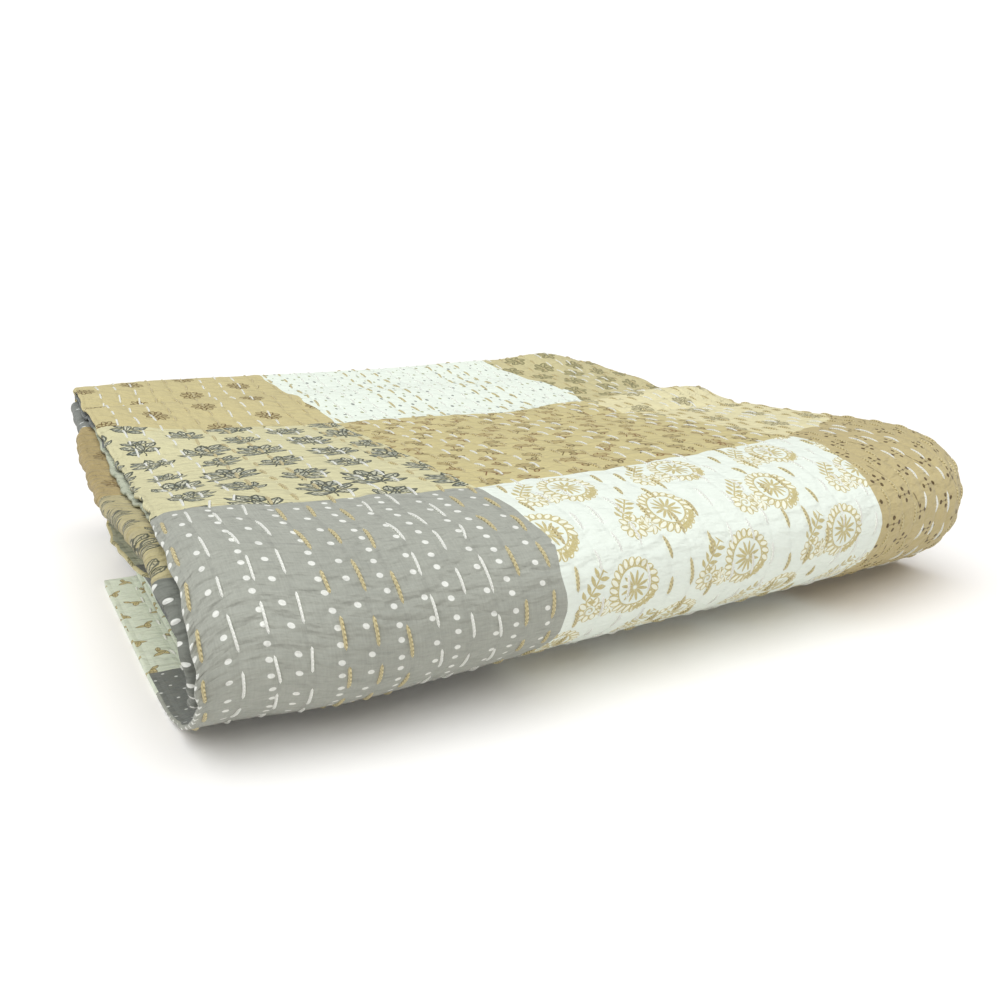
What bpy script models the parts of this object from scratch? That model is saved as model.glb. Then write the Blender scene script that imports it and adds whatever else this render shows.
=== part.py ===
"""A patchwork kantha quilt, folded for a shelf: in four across its width, then in six along its length.

One stitched cloth, so one solid. X runs along the round front fold, Y from front to back, Z up, and the
quilt rests on Z = 0. Its left end shows the layers: the outer hem, a second hem under it and a fold.
All sizes are metres.
"""

import math
from collections import namedtuple

import bmesh
import bpy

# The cloth.
QUILT_WIDTH = 2.286
QUILT_LENGTH = 2.743
SHEET = 0.003

# The folded quilt. FRONT_HEIGHT is over the six front levels, BACK_HEIGHT over the five behind the flap.
OUTER_FOLD_X = 0.5607
INNER_FOLD_CLEAR = 0.008
FRONT_HEIGHT = 0.110
BACK_HEIGHT = 0.140
FRONT_AXIS_Y = 0.0
BACK_AXIS_Y = 0.378
BOTTOM_AXIS_Y = 0.370
FLAP_END_Y = 0.235
DROP_START_Y = 0.243
DROP_END_Y = 0.315

# Layers stacked at the front and at the back of the pile, where the flap is not under them.
FRONT_LAYERS = 24
BACK_LAYERS = 20

# Steps that a curved stretch and a flat stretch are drawn with.
FOLD_STEPS = 4
SHARES_OF_LAYER = (0.0, 0.12, 0.31, 0.62, 0.88, 1.0)

# The origin is the middle of the footprint.
ORIGIN_X = 0.2776
ORIGIN_Y = 0.1464

# A flat run: its lowest layer in the front stack and in the back stack, and whether the hem layer is on top.
Run = namedtuple("Run", "name start_y end_y front_layer back_layer hem_up")
# A turn between two runs: its reach beyond its axis, and whether the hem layer is on its outside.
Turn = namedtuple("Turn", "name reach hem_outside")

FLAP = Run("flap", FLAP_END_Y, FRONT_AXIS_Y, 0, 0, False)
TOP = Run("top", FRONT_AXIS_Y, BACK_AXIS_Y, 20, 16, True)
UNDER_TOP = Run("under_top", BACK_AXIS_Y, FRONT_AXIS_Y, 16, 12, False)
BOTTOM = Run("bottom", FRONT_AXIS_Y, BOTTOM_AXIS_Y, 4, 0, True)
ABOVE_BOTTOM = Run("above_bottom", BOTTOM_AXIS_Y, FRONT_AXIS_Y, 8, 4, False)
INSIDE = Run("inside", FRONT_AXIS_Y, None, 12, 8, True)

OUTER_FRONT = Turn("outer_front", 0.1078, True)
TOP_BACK = Turn("top_back", 0.023, True)
MIDDLE_FRONT = Turn("middle_front", 0.082, False)
BOTTOM_BACK = Turn("bottom_back", 0.022, False)
INNER_FRONT = Turn("inner_front", 0.052, True)

# The cloth's route, from the free end of the flap to the free end inside.
ROUTE = (
    FLAP, OUTER_FRONT, TOP, TOP_BACK, UNDER_TOP, MIDDLE_FRONT,
    BOTTOM, BOTTOM_BACK, ABOVE_BOTTOM, INNER_FRONT, INSIDE,
)
TURN_STEPS = {"outer_front": 12, "middle_front": 8}
OTHER_TURN_STEPS = 6
# Where a run's sections stand, besides its two ends.
SECTION_YS = (0.050, 0.120, 0.190, DROP_START_Y, 0.279, DROP_END_Y)

# Along the route, where the left end has its outer hem, its second hem and its fold, and how far the right
# fold stands out. The whole part of a place counts the stretches: 2.5 is the middle of the third.
Sides = namedtuple("Sides", "place hem second_hem fold right")
SIDES = (
    Sides(0.00, -0.005, 0.018, 0.021, 0.000),
    Sides(0.70, -0.004, 0.018, 0.021, 0.000),
    Sides(1.50, 0.000, 0.004, 0.000, -0.006),
    Sides(1.85, -0.001, 0.000, -0.006, -0.004),
    Sides(2.00, -0.003, 0.000, -0.009, -0.003),
    Sides(2.20, 0.001, 0.001, -0.010, 0.000),
    Sides(2.40, 0.006, 0.002, -0.009, 0.000),
    Sides(2.60, 0.004, 0.003, -0.008, 0.000),
    Sides(2.80, 0.002, 0.002, -0.001, 0.000),
    Sides(3.50, 0.004, 0.006, 0.010, -0.001),
    Sides(4.15, 0.006, 0.008, 0.009, -0.004),
    Sides(4.80, -0.010, 0.000, -0.001, -0.004),
    Sides(4.95, -0.009, -0.001, 0.000, -0.004),
    Sides(5.50, 0.018, 0.012, 0.010, -0.004),
    Sides(6.50, 0.024, 0.021, 0.019, -0.002),
    Sides(7.50, 0.021, 0.023, 0.022, -0.003),
    Sides(8.50, 0.020, 0.024, 0.021, -0.005),
    Sides(9.50, 0.018, 0.021, 0.019, -0.006),
    Sides(10.50, 0.022, 0.018, 0.020, -0.003),
)

# Across the front: how far the round fold reaches, as a share of its full reach, how high its nose is and
# how square its upper and lower halves are (2 is an ellipse, less is undercut).
Nose = namedtuple("Nose", "x reach height upper lower")
NOSES = (
    Nose(0.000, 0.745, 0.050, 2.0, 1.8),
    Nose(0.080, 0.900, 0.057, 2.2, 2.0),
    Nose(0.180, 0.990, 0.066, 2.4, 1.8),
    Nose(0.420, 1.025, 0.070, 2.4, 1.8),
    Nose(0.510, 0.950, 0.066, 2.6, 1.9),
    Nose(0.570, 0.750, 0.060, 2.7, 2.1),
)

# The height of the pile along the middle, and what is added to it in places.
Height = namedtuple("Height", "y height")
HEIGHTS = (
    Height(-0.120, FRONT_HEIGHT),
    Height(0.050, FRONT_HEIGHT + 0.002),
    Height(0.200, FRONT_HEIGHT + 0.003),
    Height(0.300, FRONT_HEIGHT + 0.018),
    Height(0.400, BACK_HEIGHT),
)
Swell = namedtuple("Swell", "name x y reach_x reach_y rise")
SWELLS = (
    Swell("left edge dip", 0.000, 0.120, 0.060, 0.070, -0.010),
    Swell("ridge at the right", 0.540, 0.200, 0.100, 0.028, 0.010),
    Swell("hollow behind the ridge", 0.560, 0.262, 0.060, 0.030, -0.006),
    Swell("middle crown", 0.400, 0.020, 0.120, 0.120, 0.004),
    Swell("back left corner", 0.000, 0.380, 0.040, 0.060, -0.003),
    Swell("back crown", 0.400, 0.390, 0.080, 0.060, 0.004),
    Swell("peak of the back", 0.495, 0.395, 0.045, 0.050, 0.011),
    Swell("back right corner", 0.570, 0.380, 0.070, 0.080, -0.005),
    Swell("right shoulder", 0.560, -0.060, 0.060, 0.090, 0.003),
    Swell("crease before the ridge", 0.450, 0.143, 0.120, 0.008, -0.004),
    Swell("dip before the back edge", 0.030, 0.315, 0.060, 0.010, -0.004),
    Swell("rolled back edge", 0.020, 0.350, 0.060, 0.016, 0.002),
    Swell("crease over the left edge", 0.030, 0.165, 0.035, 0.012, -0.003),
    Swell("puff behind that crease", 0.030, 0.195, 0.040, 0.014, 0.002),
    Swell("front crease over the left edge", 0.020, 0.060, 0.030, 0.013, -0.0025),
)


def eased(share):
    """0 to 1 with a level start and end."""
    share = min(max(share, 0.0), 1.0)
    return share * share * (3.0 - 2.0 * share)


def between(rows, key, at):
    """Every column of a table at one place, eased from row to row."""
    first, last = rows[0], rows[-1]
    if getattr(first, key) >= at:
        return first
    if getattr(last, key) <= at:
        return last
    for low, high in zip(rows, rows[1:]):
        start, end = getattr(low, key), getattr(high, key)
        if at <= end:
            share = eased((at - start) / (end - start))
            return type(low)(*(a + (b - a) * share for a, b in zip(low, high)))


def pile_height(x, y):
    height = between(HEIGHTS, "y", y).height
    for swell in SWELLS:
        away = ((x - swell.x) / swell.reach_x) ** 2 + ((y - swell.y) / swell.reach_y) ** 2
        height += swell.rise * math.exp(-away)
    return height


def layer_height(run, depth, x, y):
    """The middle of a layer in a run. depth counts layers out from the middle of the four, the hem's at 1.5."""
    in_run = 1.5 + depth if run.hem_up else 1.5 - depth
    front = (run.front_layer + in_run) / (FRONT_LAYERS - 1)
    back = (run.back_layer + in_run) / (BACK_LAYERS - 1)
    dropped = 0.0 if run is FLAP else eased((y - DROP_START_Y) / (DROP_END_Y - DROP_START_Y))
    share = front + (back - front) * dropped
    return SHEET / 2 + (pile_height(x, y) - SHEET) * share


def on_run(run, along, depth, x, end_y=None):
    y = run.start_y + ((run.end_y if end_y is None else end_y) - run.start_y) * along
    return y, layer_height(run, depth, x, y)


def on_turn(turn, before, after, along, depth, x):
    """A point of a turn, on one of its nested half rounds."""
    axis_y = before.end_y
    low, high = layer_height(before, depth, x, axis_y), layer_height(after, depth, x, axis_y)
    pitch = (pile_height(x, axis_y) - SHEET) / (FRONT_LAYERS - 1)
    reach = turn.reach + (depth if turn.hem_outside else -depth) * pitch
    middle, upper, lower = (low + high) / 2, 2.0, 2.0
    if axis_y <= FRONT_AXIS_Y:
        nose = between(NOSES, "x", x)
        reach *= nose.reach
        if turn is OUTER_FRONT:
            middle, upper, lower = nose.height, nose.upper, nose.lower
    angle = math.pi * (along - 0.5)
    power = upper if (angle > 0) == (high > low) else lower
    rise = abs(math.sin(angle)) ** (2 / power)
    z = middle + ((high if angle > 0 else low) - middle) * rise
    outward = -1 if axis_y <= FRONT_AXIS_Y else 1
    return axis_y + outward * reach * math.cos(angle) ** (2 / power), z


def folded_across(sides):
    """The cloth's route across the width, as (x, depth) points: hem layer, right fold, lowest layer, left
    fold, third layer, inner right fold, second layer. The inner fold lies where the quilt's width leaves it,
    or just inside the outer fold, with what is left over as slack."""
    pitch = FRONT_HEIGHT / FRONT_LAYERS
    right = OUTER_FOLD_X + sides.right
    fold_lengths = math.pi * pitch * (1.5 + 0.5 + 0.5)
    used = (right - sides.hem) + (right - sides.fold) + fold_lengths
    inner = min((QUILT_WIDTH - used + sides.fold + sides.second_hem) / 2, right - INNER_FOLD_CLEAR)

    def layer(start_x, end_x, depth):
        return [(start_x + (end_x - start_x) * share, depth) for share in SHARES_OF_LAYER]

    def fold(x, start, end, outward):
        middle, radius = (start + end) / 2, (start - end) / 2
        turns = [math.pi * i / FOLD_STEPS for i in range(1, FOLD_STEPS)]
        swing = abs(radius) * pitch * outward
        return [(x + swing * math.sin(turn), middle + radius * math.cos(turn)) for turn in turns]

    return (
        layer(sides.hem, right, 1.5)
        + fold(right, 1.5, -1.5, 1)
        + layer(right, sides.fold, -1.5)
        + fold(sides.fold, -1.5, -0.5, -1)
        + layer(sides.fold, inner, -0.5)
        + fold(inner, -0.5, 0.5, 1)
        + layer(inner, sides.second_hem, 0.5)
    )


def place(step, along, depth, x, end_y=None):
    """The world place of a point of the cloth's middle surface."""
    stretch = ROUTE[step]
    if isinstance(stretch, Run):
        y, z = on_run(stretch, along, depth, x, end_y if stretch is INSIDE else None)
    else:
        y, z = on_turn(stretch, ROUTE[step - 1], ROUTE[step + 1], along, depth, x)
    return x - ORIGIN_X, y - ORIGIN_Y, z


def stations():
    """The (step, along) places at which the folded section is repeated."""
    places = [(0, 0.0)]
    for step, stretch in enumerate(ROUTE):
        if isinstance(stretch, Run):
            end_y = BACK_AXIS_Y if stretch.end_y is None else stretch.end_y
            shares = [(y - stretch.start_y) / (end_y - stretch.start_y) for y in SECTION_YS]
            places += [(step, share) for share in sorted(shares) if 0.01 < share < 0.99] + [(step, 1.0)]
        else:
            count = TURN_STEPS.get(stretch.name, OTHER_TURN_STEPS)
            places += [(step, (i + 1) / count) for i in range(count)]
    return places


def inside_end_y():
    """Where the free end inside lies, so that the middle of the cloth measures the quilt's length."""
    middle_x = OUTER_FOLD_X / 2
    route = [place(step, along, 0.0, middle_x) for step, along in stations() if ROUTE[step] is not INSIDE]
    used = sum(math.dist(a, b) for a, b in zip(route, route[1:]))
    return FRONT_AXIS_Y + QUILT_LENGTH - used


def quilt_mesh():
    """The middle surface of the folded cloth, one row of faces from each station to the next."""
    end_y = inside_end_y()
    mesh = bpy.data.meshes.new("quilt")
    cloth = bmesh.new()
    rows = []
    for step, along in stations():
        section = folded_across(between(SIDES, "place", step + along))
        rows.append([cloth.verts.new(place(step, along, depth, x, end_y)) for x, depth in section])
    for row, following in zip(rows, rows[1:]):
        for a, b, c, d in zip(row, row[1:], following[1:], following):
            cloth.faces.new((a, b, c, d))
    cloth.to_mesh(mesh)
    cloth.free()
    return mesh


def cotton():
    material = bpy.data.materials.new("block_printed_cotton")
    material.use_nodes = True
    shader = material.node_tree.nodes["Principled BSDF"]
    shader.inputs["Base Color"].default_value = (0.60, 0.46, 0.25, 1.0)
    shader.inputs["Roughness"].default_value = 0.85
    shader.inputs["Metallic"].default_value = 0.0
    return material


def build():
    for leftover in list(bpy.data.objects):
        bpy.data.objects.remove(leftover, do_unlink=True)
    quilt = bpy.data.objects.new("quilt", quilt_mesh())
    bpy.context.scene.collection.objects.link(quilt)
    quilt.data.materials.append(cotton())
    thicken = quilt.modifiers.new("cloth thickness", "SOLIDIFY")
    thicken.thickness = SHEET
    thicken.offset = 0.0
    thicken.use_even_offset = True


build()
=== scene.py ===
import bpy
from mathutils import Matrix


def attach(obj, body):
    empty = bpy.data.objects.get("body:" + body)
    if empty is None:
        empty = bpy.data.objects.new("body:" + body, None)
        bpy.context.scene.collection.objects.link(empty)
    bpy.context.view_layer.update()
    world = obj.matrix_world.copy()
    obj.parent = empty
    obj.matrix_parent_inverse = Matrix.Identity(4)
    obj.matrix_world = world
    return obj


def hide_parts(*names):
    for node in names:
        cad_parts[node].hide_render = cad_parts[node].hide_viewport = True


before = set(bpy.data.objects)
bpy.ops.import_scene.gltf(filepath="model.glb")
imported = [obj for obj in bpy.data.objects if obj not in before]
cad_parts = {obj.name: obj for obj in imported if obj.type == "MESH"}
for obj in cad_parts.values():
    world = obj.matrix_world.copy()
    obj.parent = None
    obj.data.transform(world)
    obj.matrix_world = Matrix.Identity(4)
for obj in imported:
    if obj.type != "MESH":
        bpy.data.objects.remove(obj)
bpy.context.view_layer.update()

import math
from collections import namedtuple
from functools import partial

import bpy
import numpy as np
from mathutils import Vector
from mathutils.bvhtree import BVHTree


# ---- The quilted cloth ----
# Two faces of block-printed cotton patches with a thin cotton filling between them, run through with rows
# of stitches and turned in at the hem. It is folded in four across its width and in six along its length,
# and rests on its lowest fold. X runs along the round front fold, Y to the back.

QUILT_WIDTH = 2.286
QUILT_LENGTH = 2.743
CLOTH_THICKNESS = 0.003
PATCH = 0.250
SIDE_STRIP = 0.1765
THREAD_SPACING = 0.0155
FIRST_THREAD = 0.0028

OUTER_FOLD_X = 0.5607
INNER_FOLD_CLEAR = 0.008
FRONT_HEIGHT = 0.110
BACK_HEIGHT = 0.140
FRONT_AXIS_Y = 0.0
BACK_AXIS_Y = 0.378
BOTTOM_AXIS_Y = 0.370
FLAP_END_Y = 0.235
DROP_START_Y = 0.243
DROP_END_Y = 0.315
FRONT_LAYERS = 24
BACK_LAYERS = 20
LAYER_PITCH = FRONT_HEIGHT / FRONT_LAYERS
ORIGIN = np.array((0.2776, 0.1464, 0.0))

# The four layers of a run, counted from the middle of the four.
HEM_LAYER, SECOND_LAYER, THIRD_LAYER, LOWEST_LAYER = 1.5, 0.5, -0.5, -1.5

# A flat run of four layers, and a turn between two runs.
Run = namedtuple("Run", "start_y end_y front_layer back_layer hem_up")
Turn = namedtuple("Turn", "reach hem_outside")
FLAP = Run(FLAP_END_Y, FRONT_AXIS_Y, 0, 0, False)
OUTER_FRONT = Turn(0.1078, True)
INSIDE = Run(FRONT_AXIS_Y, None, 12, 8, True)
ROUTE = (
    FLAP,
    OUTER_FRONT,
    Run(FRONT_AXIS_Y, BACK_AXIS_Y, 20, 16, True),
    Turn(0.023, True),
    Run(BACK_AXIS_Y, FRONT_AXIS_Y, 16, 12, False),
    Turn(0.082, False),
    Run(FRONT_AXIS_Y, BOTTOM_AXIS_Y, 4, 0, True),
    Turn(0.022, False),
    Run(BOTTOM_AXIS_Y, FRONT_AXIS_Y, 8, 4, False),
    Turn(0.052, True),
    INSIDE,
)

# Where the left end of the pile has its outer hem, second hem and fold, how far the fold puffs up, how far
# the hem layer is drawn to the left, and where the right fold lies. The first number is the place on the
# route: 2.5 is the middle of the third stretch.
SIDES = (
    (0.00, -0.005, 0.018, 0.021, 0.0, 0.000, 0.000),
    (0.70, -0.004, 0.018, 0.021, 0.0, 0.000, 0.000),
    (1.50, 0.000, 0.004, 0.000, 0.2, 0.000, -0.006),
    (1.85, -0.001, 0.000, -0.006, 0.7, 0.006, -0.004),
    (2.00, -0.003, 0.000, -0.009, 0.9, 0.010, -0.003),
    (2.20, 0.001, 0.001, -0.010, 1.0, 0.011, 0.000),
    (2.40, 0.006, 0.002, -0.009, 1.0, 0.011, 0.000),
    (2.60, 0.004, 0.003, -0.008, 1.0, 0.011, 0.000),
    (2.80, 0.002, 0.002, -0.001, 0.7, 0.012, 0.000),
    (3.50, 0.004, 0.006, 0.010, 0.0, 0.010, -0.001),
    (4.15, 0.006, 0.008, 0.009, 0.0, 0.000, -0.004),
    (4.50, -0.004, 0.002, 0.002, 0.0, 0.000, -0.004),
    (4.80, -0.010, 0.000, -0.001, 0.0, 0.000, -0.004),
    (4.95, -0.009, -0.001, 0.000, 0.0, 0.000, -0.004),
    (5.15, 0.010, 0.006, 0.004, 0.0, 0.000, -0.004),
    (5.50, 0.018, 0.012, 0.010, 0.0, 0.000, -0.004),
    (6.50, 0.024, 0.021, 0.019, 0.0, 0.000, -0.002),
    (7.50, 0.021, 0.023, 0.022, 0.0, 0.000, -0.003),
    (8.50, 0.020, 0.024, 0.021, 0.0, 0.000, -0.005),
    (9.50, 0.018, 0.021, 0.019, 0.0, 0.000, -0.006),
    (10.50, 0.022, 0.018, 0.020, 0.0, 0.000, -0.003),
)
# Across the front: x, the share of the round fold's full reach, its nose height, and how square its upper
# and lower halves are (2 is an ellipse).
NOSES = (
    (0.000, 0.745, 0.050, 2.0, 1.8),
    (0.080, 0.900, 0.057, 2.2, 2.0),
    (0.180, 0.990, 0.066, 2.4, 1.8),
    (0.420, 1.025, 0.070, 2.4, 1.8),
    (0.510, 0.950, 0.066, 2.6, 1.9),
    (0.570, 0.750, 0.060, 2.7, 2.1),
)
# The height of the pile along its middle: y, height.
HEIGHTS = (
    (-0.120, FRONT_HEIGHT),
    (0.050, FRONT_HEIGHT + 0.002),
    (0.200, FRONT_HEIGHT + 0.003),
    (0.300, FRONT_HEIGHT + 0.018),
    (0.400, BACK_HEIGHT),
)
# What is added to it in places.
Swell = namedtuple("Swell", "name x y reach_x reach_y rise")
SWELLS = (
    Swell("left edge dip", 0.000, 0.120, 0.060, 0.070, -0.010),
    Swell("ridge at the right", 0.540, 0.200, 0.100, 0.028, 0.010),
    Swell("hollow behind the ridge", 0.560, 0.262, 0.060, 0.030, -0.006),
    Swell("middle crown", 0.400, 0.020, 0.120, 0.120, 0.004),
    Swell("back left corner", 0.000, 0.380, 0.040, 0.060, -0.003),
    Swell("back crown", 0.400, 0.390, 0.080, 0.060, 0.004),
    Swell("peak of the back", 0.495, 0.395, 0.045, 0.050, 0.011),
    Swell("back right corner", 0.570, 0.380, 0.070, 0.080, -0.005),
    Swell("right shoulder", 0.560, -0.060, 0.060, 0.090, 0.003),
    Swell("crease before the ridge", 0.450, 0.143, 0.120, 0.008, -0.004),
    Swell("dip before the back edge", 0.030, 0.315, 0.060, 0.010, -0.004),
    Swell("rolled back edge", 0.020, 0.350, 0.060, 0.016, 0.002),
    Swell("crease over the left edge", 0.030, 0.165, 0.035, 0.012, -0.003),
    Swell("puff behind that crease", 0.030, 0.195, 0.040, 0.014, 0.002),
    Swell("front crease over the left edge", 0.020, 0.060, 0.030, 0.013, -0.0025),
)


def eased(share):
    """0 to 1 with a level start and end."""
    share = np.clip(share, 0.0, 1.0)
    return share * share * (3.0 - 2.0 * share)


def between(rows, at):
    """Every later column of a table at the places given, eased from row to row."""
    table = np.array(rows, dtype=float)
    at = np.clip(at, table[0, 0], table[-1, 0])
    low = np.clip(np.searchsorted(table[:, 0], at, side="right") - 1, 0, len(table) - 2)
    share = eased((at - table[low, 0]) / (table[low + 1, 0] - table[low, 0]))
    return (table[low] + (table[low + 1] - table[low]) * share[..., None]).T[1:]


def pile_height(x, y):
    """The height of the pile's top at places on it."""
    height = between(HEIGHTS, y)[0]
    for swell in SWELLS:
        away = ((x - swell.x) / swell.reach_x) ** 2 + ((y - swell.y) / swell.reach_y) ** 2
        height = height + swell.rise * np.exp(-away)
    return height


def layer_height(run, depth, x, y):
    """The height of the middle of a layer in a run."""
    in_run = HEM_LAYER + depth if run.hem_up else HEM_LAYER - depth
    front = (run.front_layer + in_run) / (FRONT_LAYERS - 1)
    back = (run.back_layer + in_run) / (BACK_LAYERS - 1)
    dropped = 0.0 if run is FLAP else eased((y - DROP_START_Y) / (DROP_END_Y - DROP_START_Y))
    share = front + (back - front) * dropped
    return CLOTH_THICKNESS / 2 + (pile_height(x, y) - CLOTH_THICKNESS) * share


def on_turn(step, along, depth, x):
    """Points of a turn, on its nested half rounds."""
    turn, before, after = ROUTE[step], ROUTE[step - 1], ROUTE[step + 1]
    axis_y = np.full_like(x, before.end_y)
    low, high = layer_height(before, depth, x, axis_y), layer_height(after, depth, x, axis_y)
    pitch = (pile_height(x, axis_y) - CLOTH_THICKNESS) / (FRONT_LAYERS - 1)
    reach = turn.reach + (depth if turn.hem_outside else -depth) * pitch
    middle, upper, lower = (low + high) / 2, 2.0, 2.0
    outward = 1
    if before.end_y <= FRONT_AXIS_Y:
        nose_reach, nose_height, nose_upper, nose_lower = between(NOSES, x)
        reach = reach * nose_reach
        outward = -1
        if turn is OUTER_FRONT:
            middle, upper, lower = nose_height, nose_upper, nose_lower
    angle = math.pi * (along - 0.5)
    power = np.where((angle > 0) == (high > low), upper, lower)
    rise = np.abs(np.sin(angle)) ** (2 / power)
    z = middle + (np.where(angle > 0, high, low) - middle) * rise
    return axis_y + outward * reach * np.abs(np.cos(angle)) ** (2 / power), z


def points_at(place, depth, x, inside_end_y=BACK_AXIS_Y):
    """World points of the cloth's middle surface at places on the route."""
    place, depth, x = np.broadcast_arrays(place, depth, x)
    steps = np.minimum(place.astype(int), len(ROUTE) - 1)
    y, z = np.empty(x.shape), np.empty(x.shape)
    for step in np.unique(steps):
        at = steps == step
        along, stretch = place[at] - step, ROUTE[step]
        if isinstance(stretch, Run):
            end_y = inside_end_y if stretch is INSIDE else stretch.end_y
            y[at] = stretch.start_y + (end_y - stretch.start_y) * along
            z[at] = layer_height(stretch, depth[at], x[at], y[at])
        else:
            y[at], z[at] = on_turn(step, along, depth[at], x[at])
    return np.stack((x, y, z), axis=-1) - ORIGIN


def length_along(depth, x, places):
    """The cloth's length up to each place on the route, measured on one layer."""
    route = points_at(places, depth, x)
    return np.concatenate(([0.0], np.cumsum(np.linalg.norm(np.diff(route, axis=0), axis=1))))


# The free end inside lies where the middle of the cloth measures the quilt's length.
PLACES_A_STEP = 40
MEASURED_PLACES = np.linspace(0.0, len(ROUTE), PLACES_A_STEP * len(ROUTE) + 1)
MIDDLE_X = OUTER_FOLD_X / 2
to_inside = MEASURED_PLACES[MEASURED_PLACES <= len(ROUTE) - 1]
INSIDE_END_Y = FRONT_AXIS_Y + QUILT_LENGTH - length_along(0.0, MIDDLE_X, to_inside)[-1]

# Lengths along the cloth are measured on the hem layer, which shows.
measured_lengths = length_along(HEM_LAYER, MIDDLE_X, MEASURED_PLACES)
inside_length = INSIDE_END_Y * np.arange(PLACES_A_STEP + 1) / PLACES_A_STEP
measured_lengths[-PLACES_A_STEP - 1:] = measured_lengths[-PLACES_A_STEP - 1] + inside_length

# The round front takes up less cloth towards its two ends, so that the seams run further back there.
MEASURED_XS = np.linspace(-0.02, 0.58, 25)
own_share = np.interp(MEASURED_PLACES, (3.0, 5.0), (1.0, 0.0))
lengths_at_xs = [
    measured_lengths + own_share * (length_along(HEM_LAYER, x, MEASURED_PLACES) - measured_lengths)
    for x in MEASURED_XS
]


def places_for(v, x):
    """Where points of the cloth lie on the route, for each v and x."""
    v, x = np.broadcast_arrays(np.asarray(v, dtype=float), np.asarray(x, dtype=float))
    step = MEASURED_XS[1] - MEASURED_XS[0]
    low = np.clip(((x - MEASURED_XS[0]) / step).astype(int), 0, len(MEASURED_XS) - 2)
    share = np.clip((x - MEASURED_XS[low]) / step, 0.0, 1.0)
    result = np.zeros(v.shape)
    for index, lengths in enumerate(lengths_at_xs):
        weight = np.where(low == index, 1.0 - share, 0.0) + np.where(low + 1 == index, share, 0.0)
        result += weight * np.interp(v, lengths, MEASURED_PLACES)
    return result


# The lines of the cloth's mesh: along its length every fiftieth of a patch where it shows, coarser where it
# is folded away, and always along the seams between patches. The patches at the left fold have seams of
# their own, and so has the reverse. HIDDEN_STEPS counts the lines in each hidden step of the route.
FRONT_SEAM = 0.468
FOLD_COLUMN = 4
FOLD_SEAMS = (0.164, 0.396, 0.566, 0.732, 0.968, 1.218, 1.468, 1.718, 1.968, 2.218, 2.468, 2.718)
FINE_CELL = PATCH / 50
SHOWN_PLACES = (1.0, 4.0)
HIDDEN_STEPS = {0: 14, 4: 24, 5: 10, 6: 12, 7: 6, 8: 12, 9: 8, 10: 8}
REVERSE_SEAMS = (0.190, 0.431, 0.673, 0.914, 1.130, 1.345, 1.590, 1.837, 2.084, 2.331, 2.578)
SEAMS_MERGED_WITHIN = 0.002
KEPT_FROM_SEAM = 0.4 * FINE_CELL
LEAST_CELL = 0.0008

shown_start, shown_end = np.interp(SHOWN_PLACES, MEASURED_PLACES, measured_lengths)
patches_on = (measured_lengths[-1] - FRONT_SEAM) / PATCH
front_seams = [FRONT_SEAM + PATCH * i for i in range(-1, math.ceil(patches_on))]
first_cell, last_cell = (math.ceil((v - FRONT_SEAM) / FINE_CELL) for v in (shown_start, shown_end))
lines_v = [FRONT_SEAM + FINE_CELL * i for i in range(first_cell, last_cell)]
for step, count in HIDDEN_STEPS.items():
    edges = [step + i / count for i in range(count + 1)]
    lines_v += list(np.interp(edges, MEASURED_PLACES, measured_lengths))
seams_v = sorted(v for v in (*front_seams, *FOLD_SEAMS, *REVERSE_SEAMS) if v < measured_lengths[-1])
seams_v = [v for v, before in zip(seams_v, [-1.0] + seams_v) if v - before > SEAMS_MERGED_WITHIN]
ends_v = [0.0, measured_lengths[-1]]
lines_v = [v for v in lines_v if min(abs(v - kept) for kept in seams_v + ends_v) > KEPT_FROM_SEAM]
lines_v = np.array(sorted(set(np.round(lines_v + seams_v + ends_v, 6))))
lines_v = lines_v[np.concatenate(([True], np.diff(lines_v) > LEAST_CELL))]

# The hem has slipped forward a little against the cloth beside it, so the seams bend towards the front.
HEM_SLIP = 0.022
HEM_SLIP_REACH = 0.022
SLIP_PLACES = (1.2, 1.7, 2.6, 3.0)


def slipped(v, u):
    """The v whose place a point of the cloth takes."""
    near_hem = np.exp(-u / HEM_SLIP_REACH)
    amount = np.interp(places_for(v, 0.0), SLIP_PLACES, (0.0, 1.0, 1.0, 0.0))
    return v - HEM_SLIP * near_hem * amount


# The patches were cut and sewn by eye, so their seams stray. Each row is where on the cloth, how far about
# it, and how far the seams there stray across and along.
Stray = namedtuple("Stray", "name u v reach_u reach_v across along")
STRAYS = (
    Stray("front seam at the right", 0.560, 0.468, 0.170, 0.100, 0.000, 0.040),
    Stray("front seam at the hem", 0.000, 0.468, 0.120, 0.080, 0.000, -0.010),
    Stray("white patch's corner", 0.430, 0.450, 0.080, 0.035, 0.017, 0.000),
    Stray("grey patch's side", 0.180, 0.400, 0.060, 0.060, 0.005, 0.000),
    Stray("back of the first column", 0.180, 0.730, 0.070, 0.070, 0.008, 0.000),
    Stray("end of the first column", 0.180, 0.900, 0.070, 0.060, -0.006, 0.000),
    Stray("far patch's corner", 0.430, 0.765, 0.060, 0.025, 0.016, 0.000),
    Stray("far patch's side", 0.420, 0.890, 0.060, 0.030, -0.012, 0.000),
    Stray("back seam at the hem", 0.080, 0.718, 0.070, 0.050, 0.000, -0.008),
    Stray("dip of the back seam", 0.330, 0.718, 0.040, 0.060, 0.000, -0.012),
    Stray("rise of the back seam", 0.400, 0.718, 0.030, 0.060, 0.000, 0.012),
)
SEAM_WANDER = 0.0013
ENDS_HELD = 0.030


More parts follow.
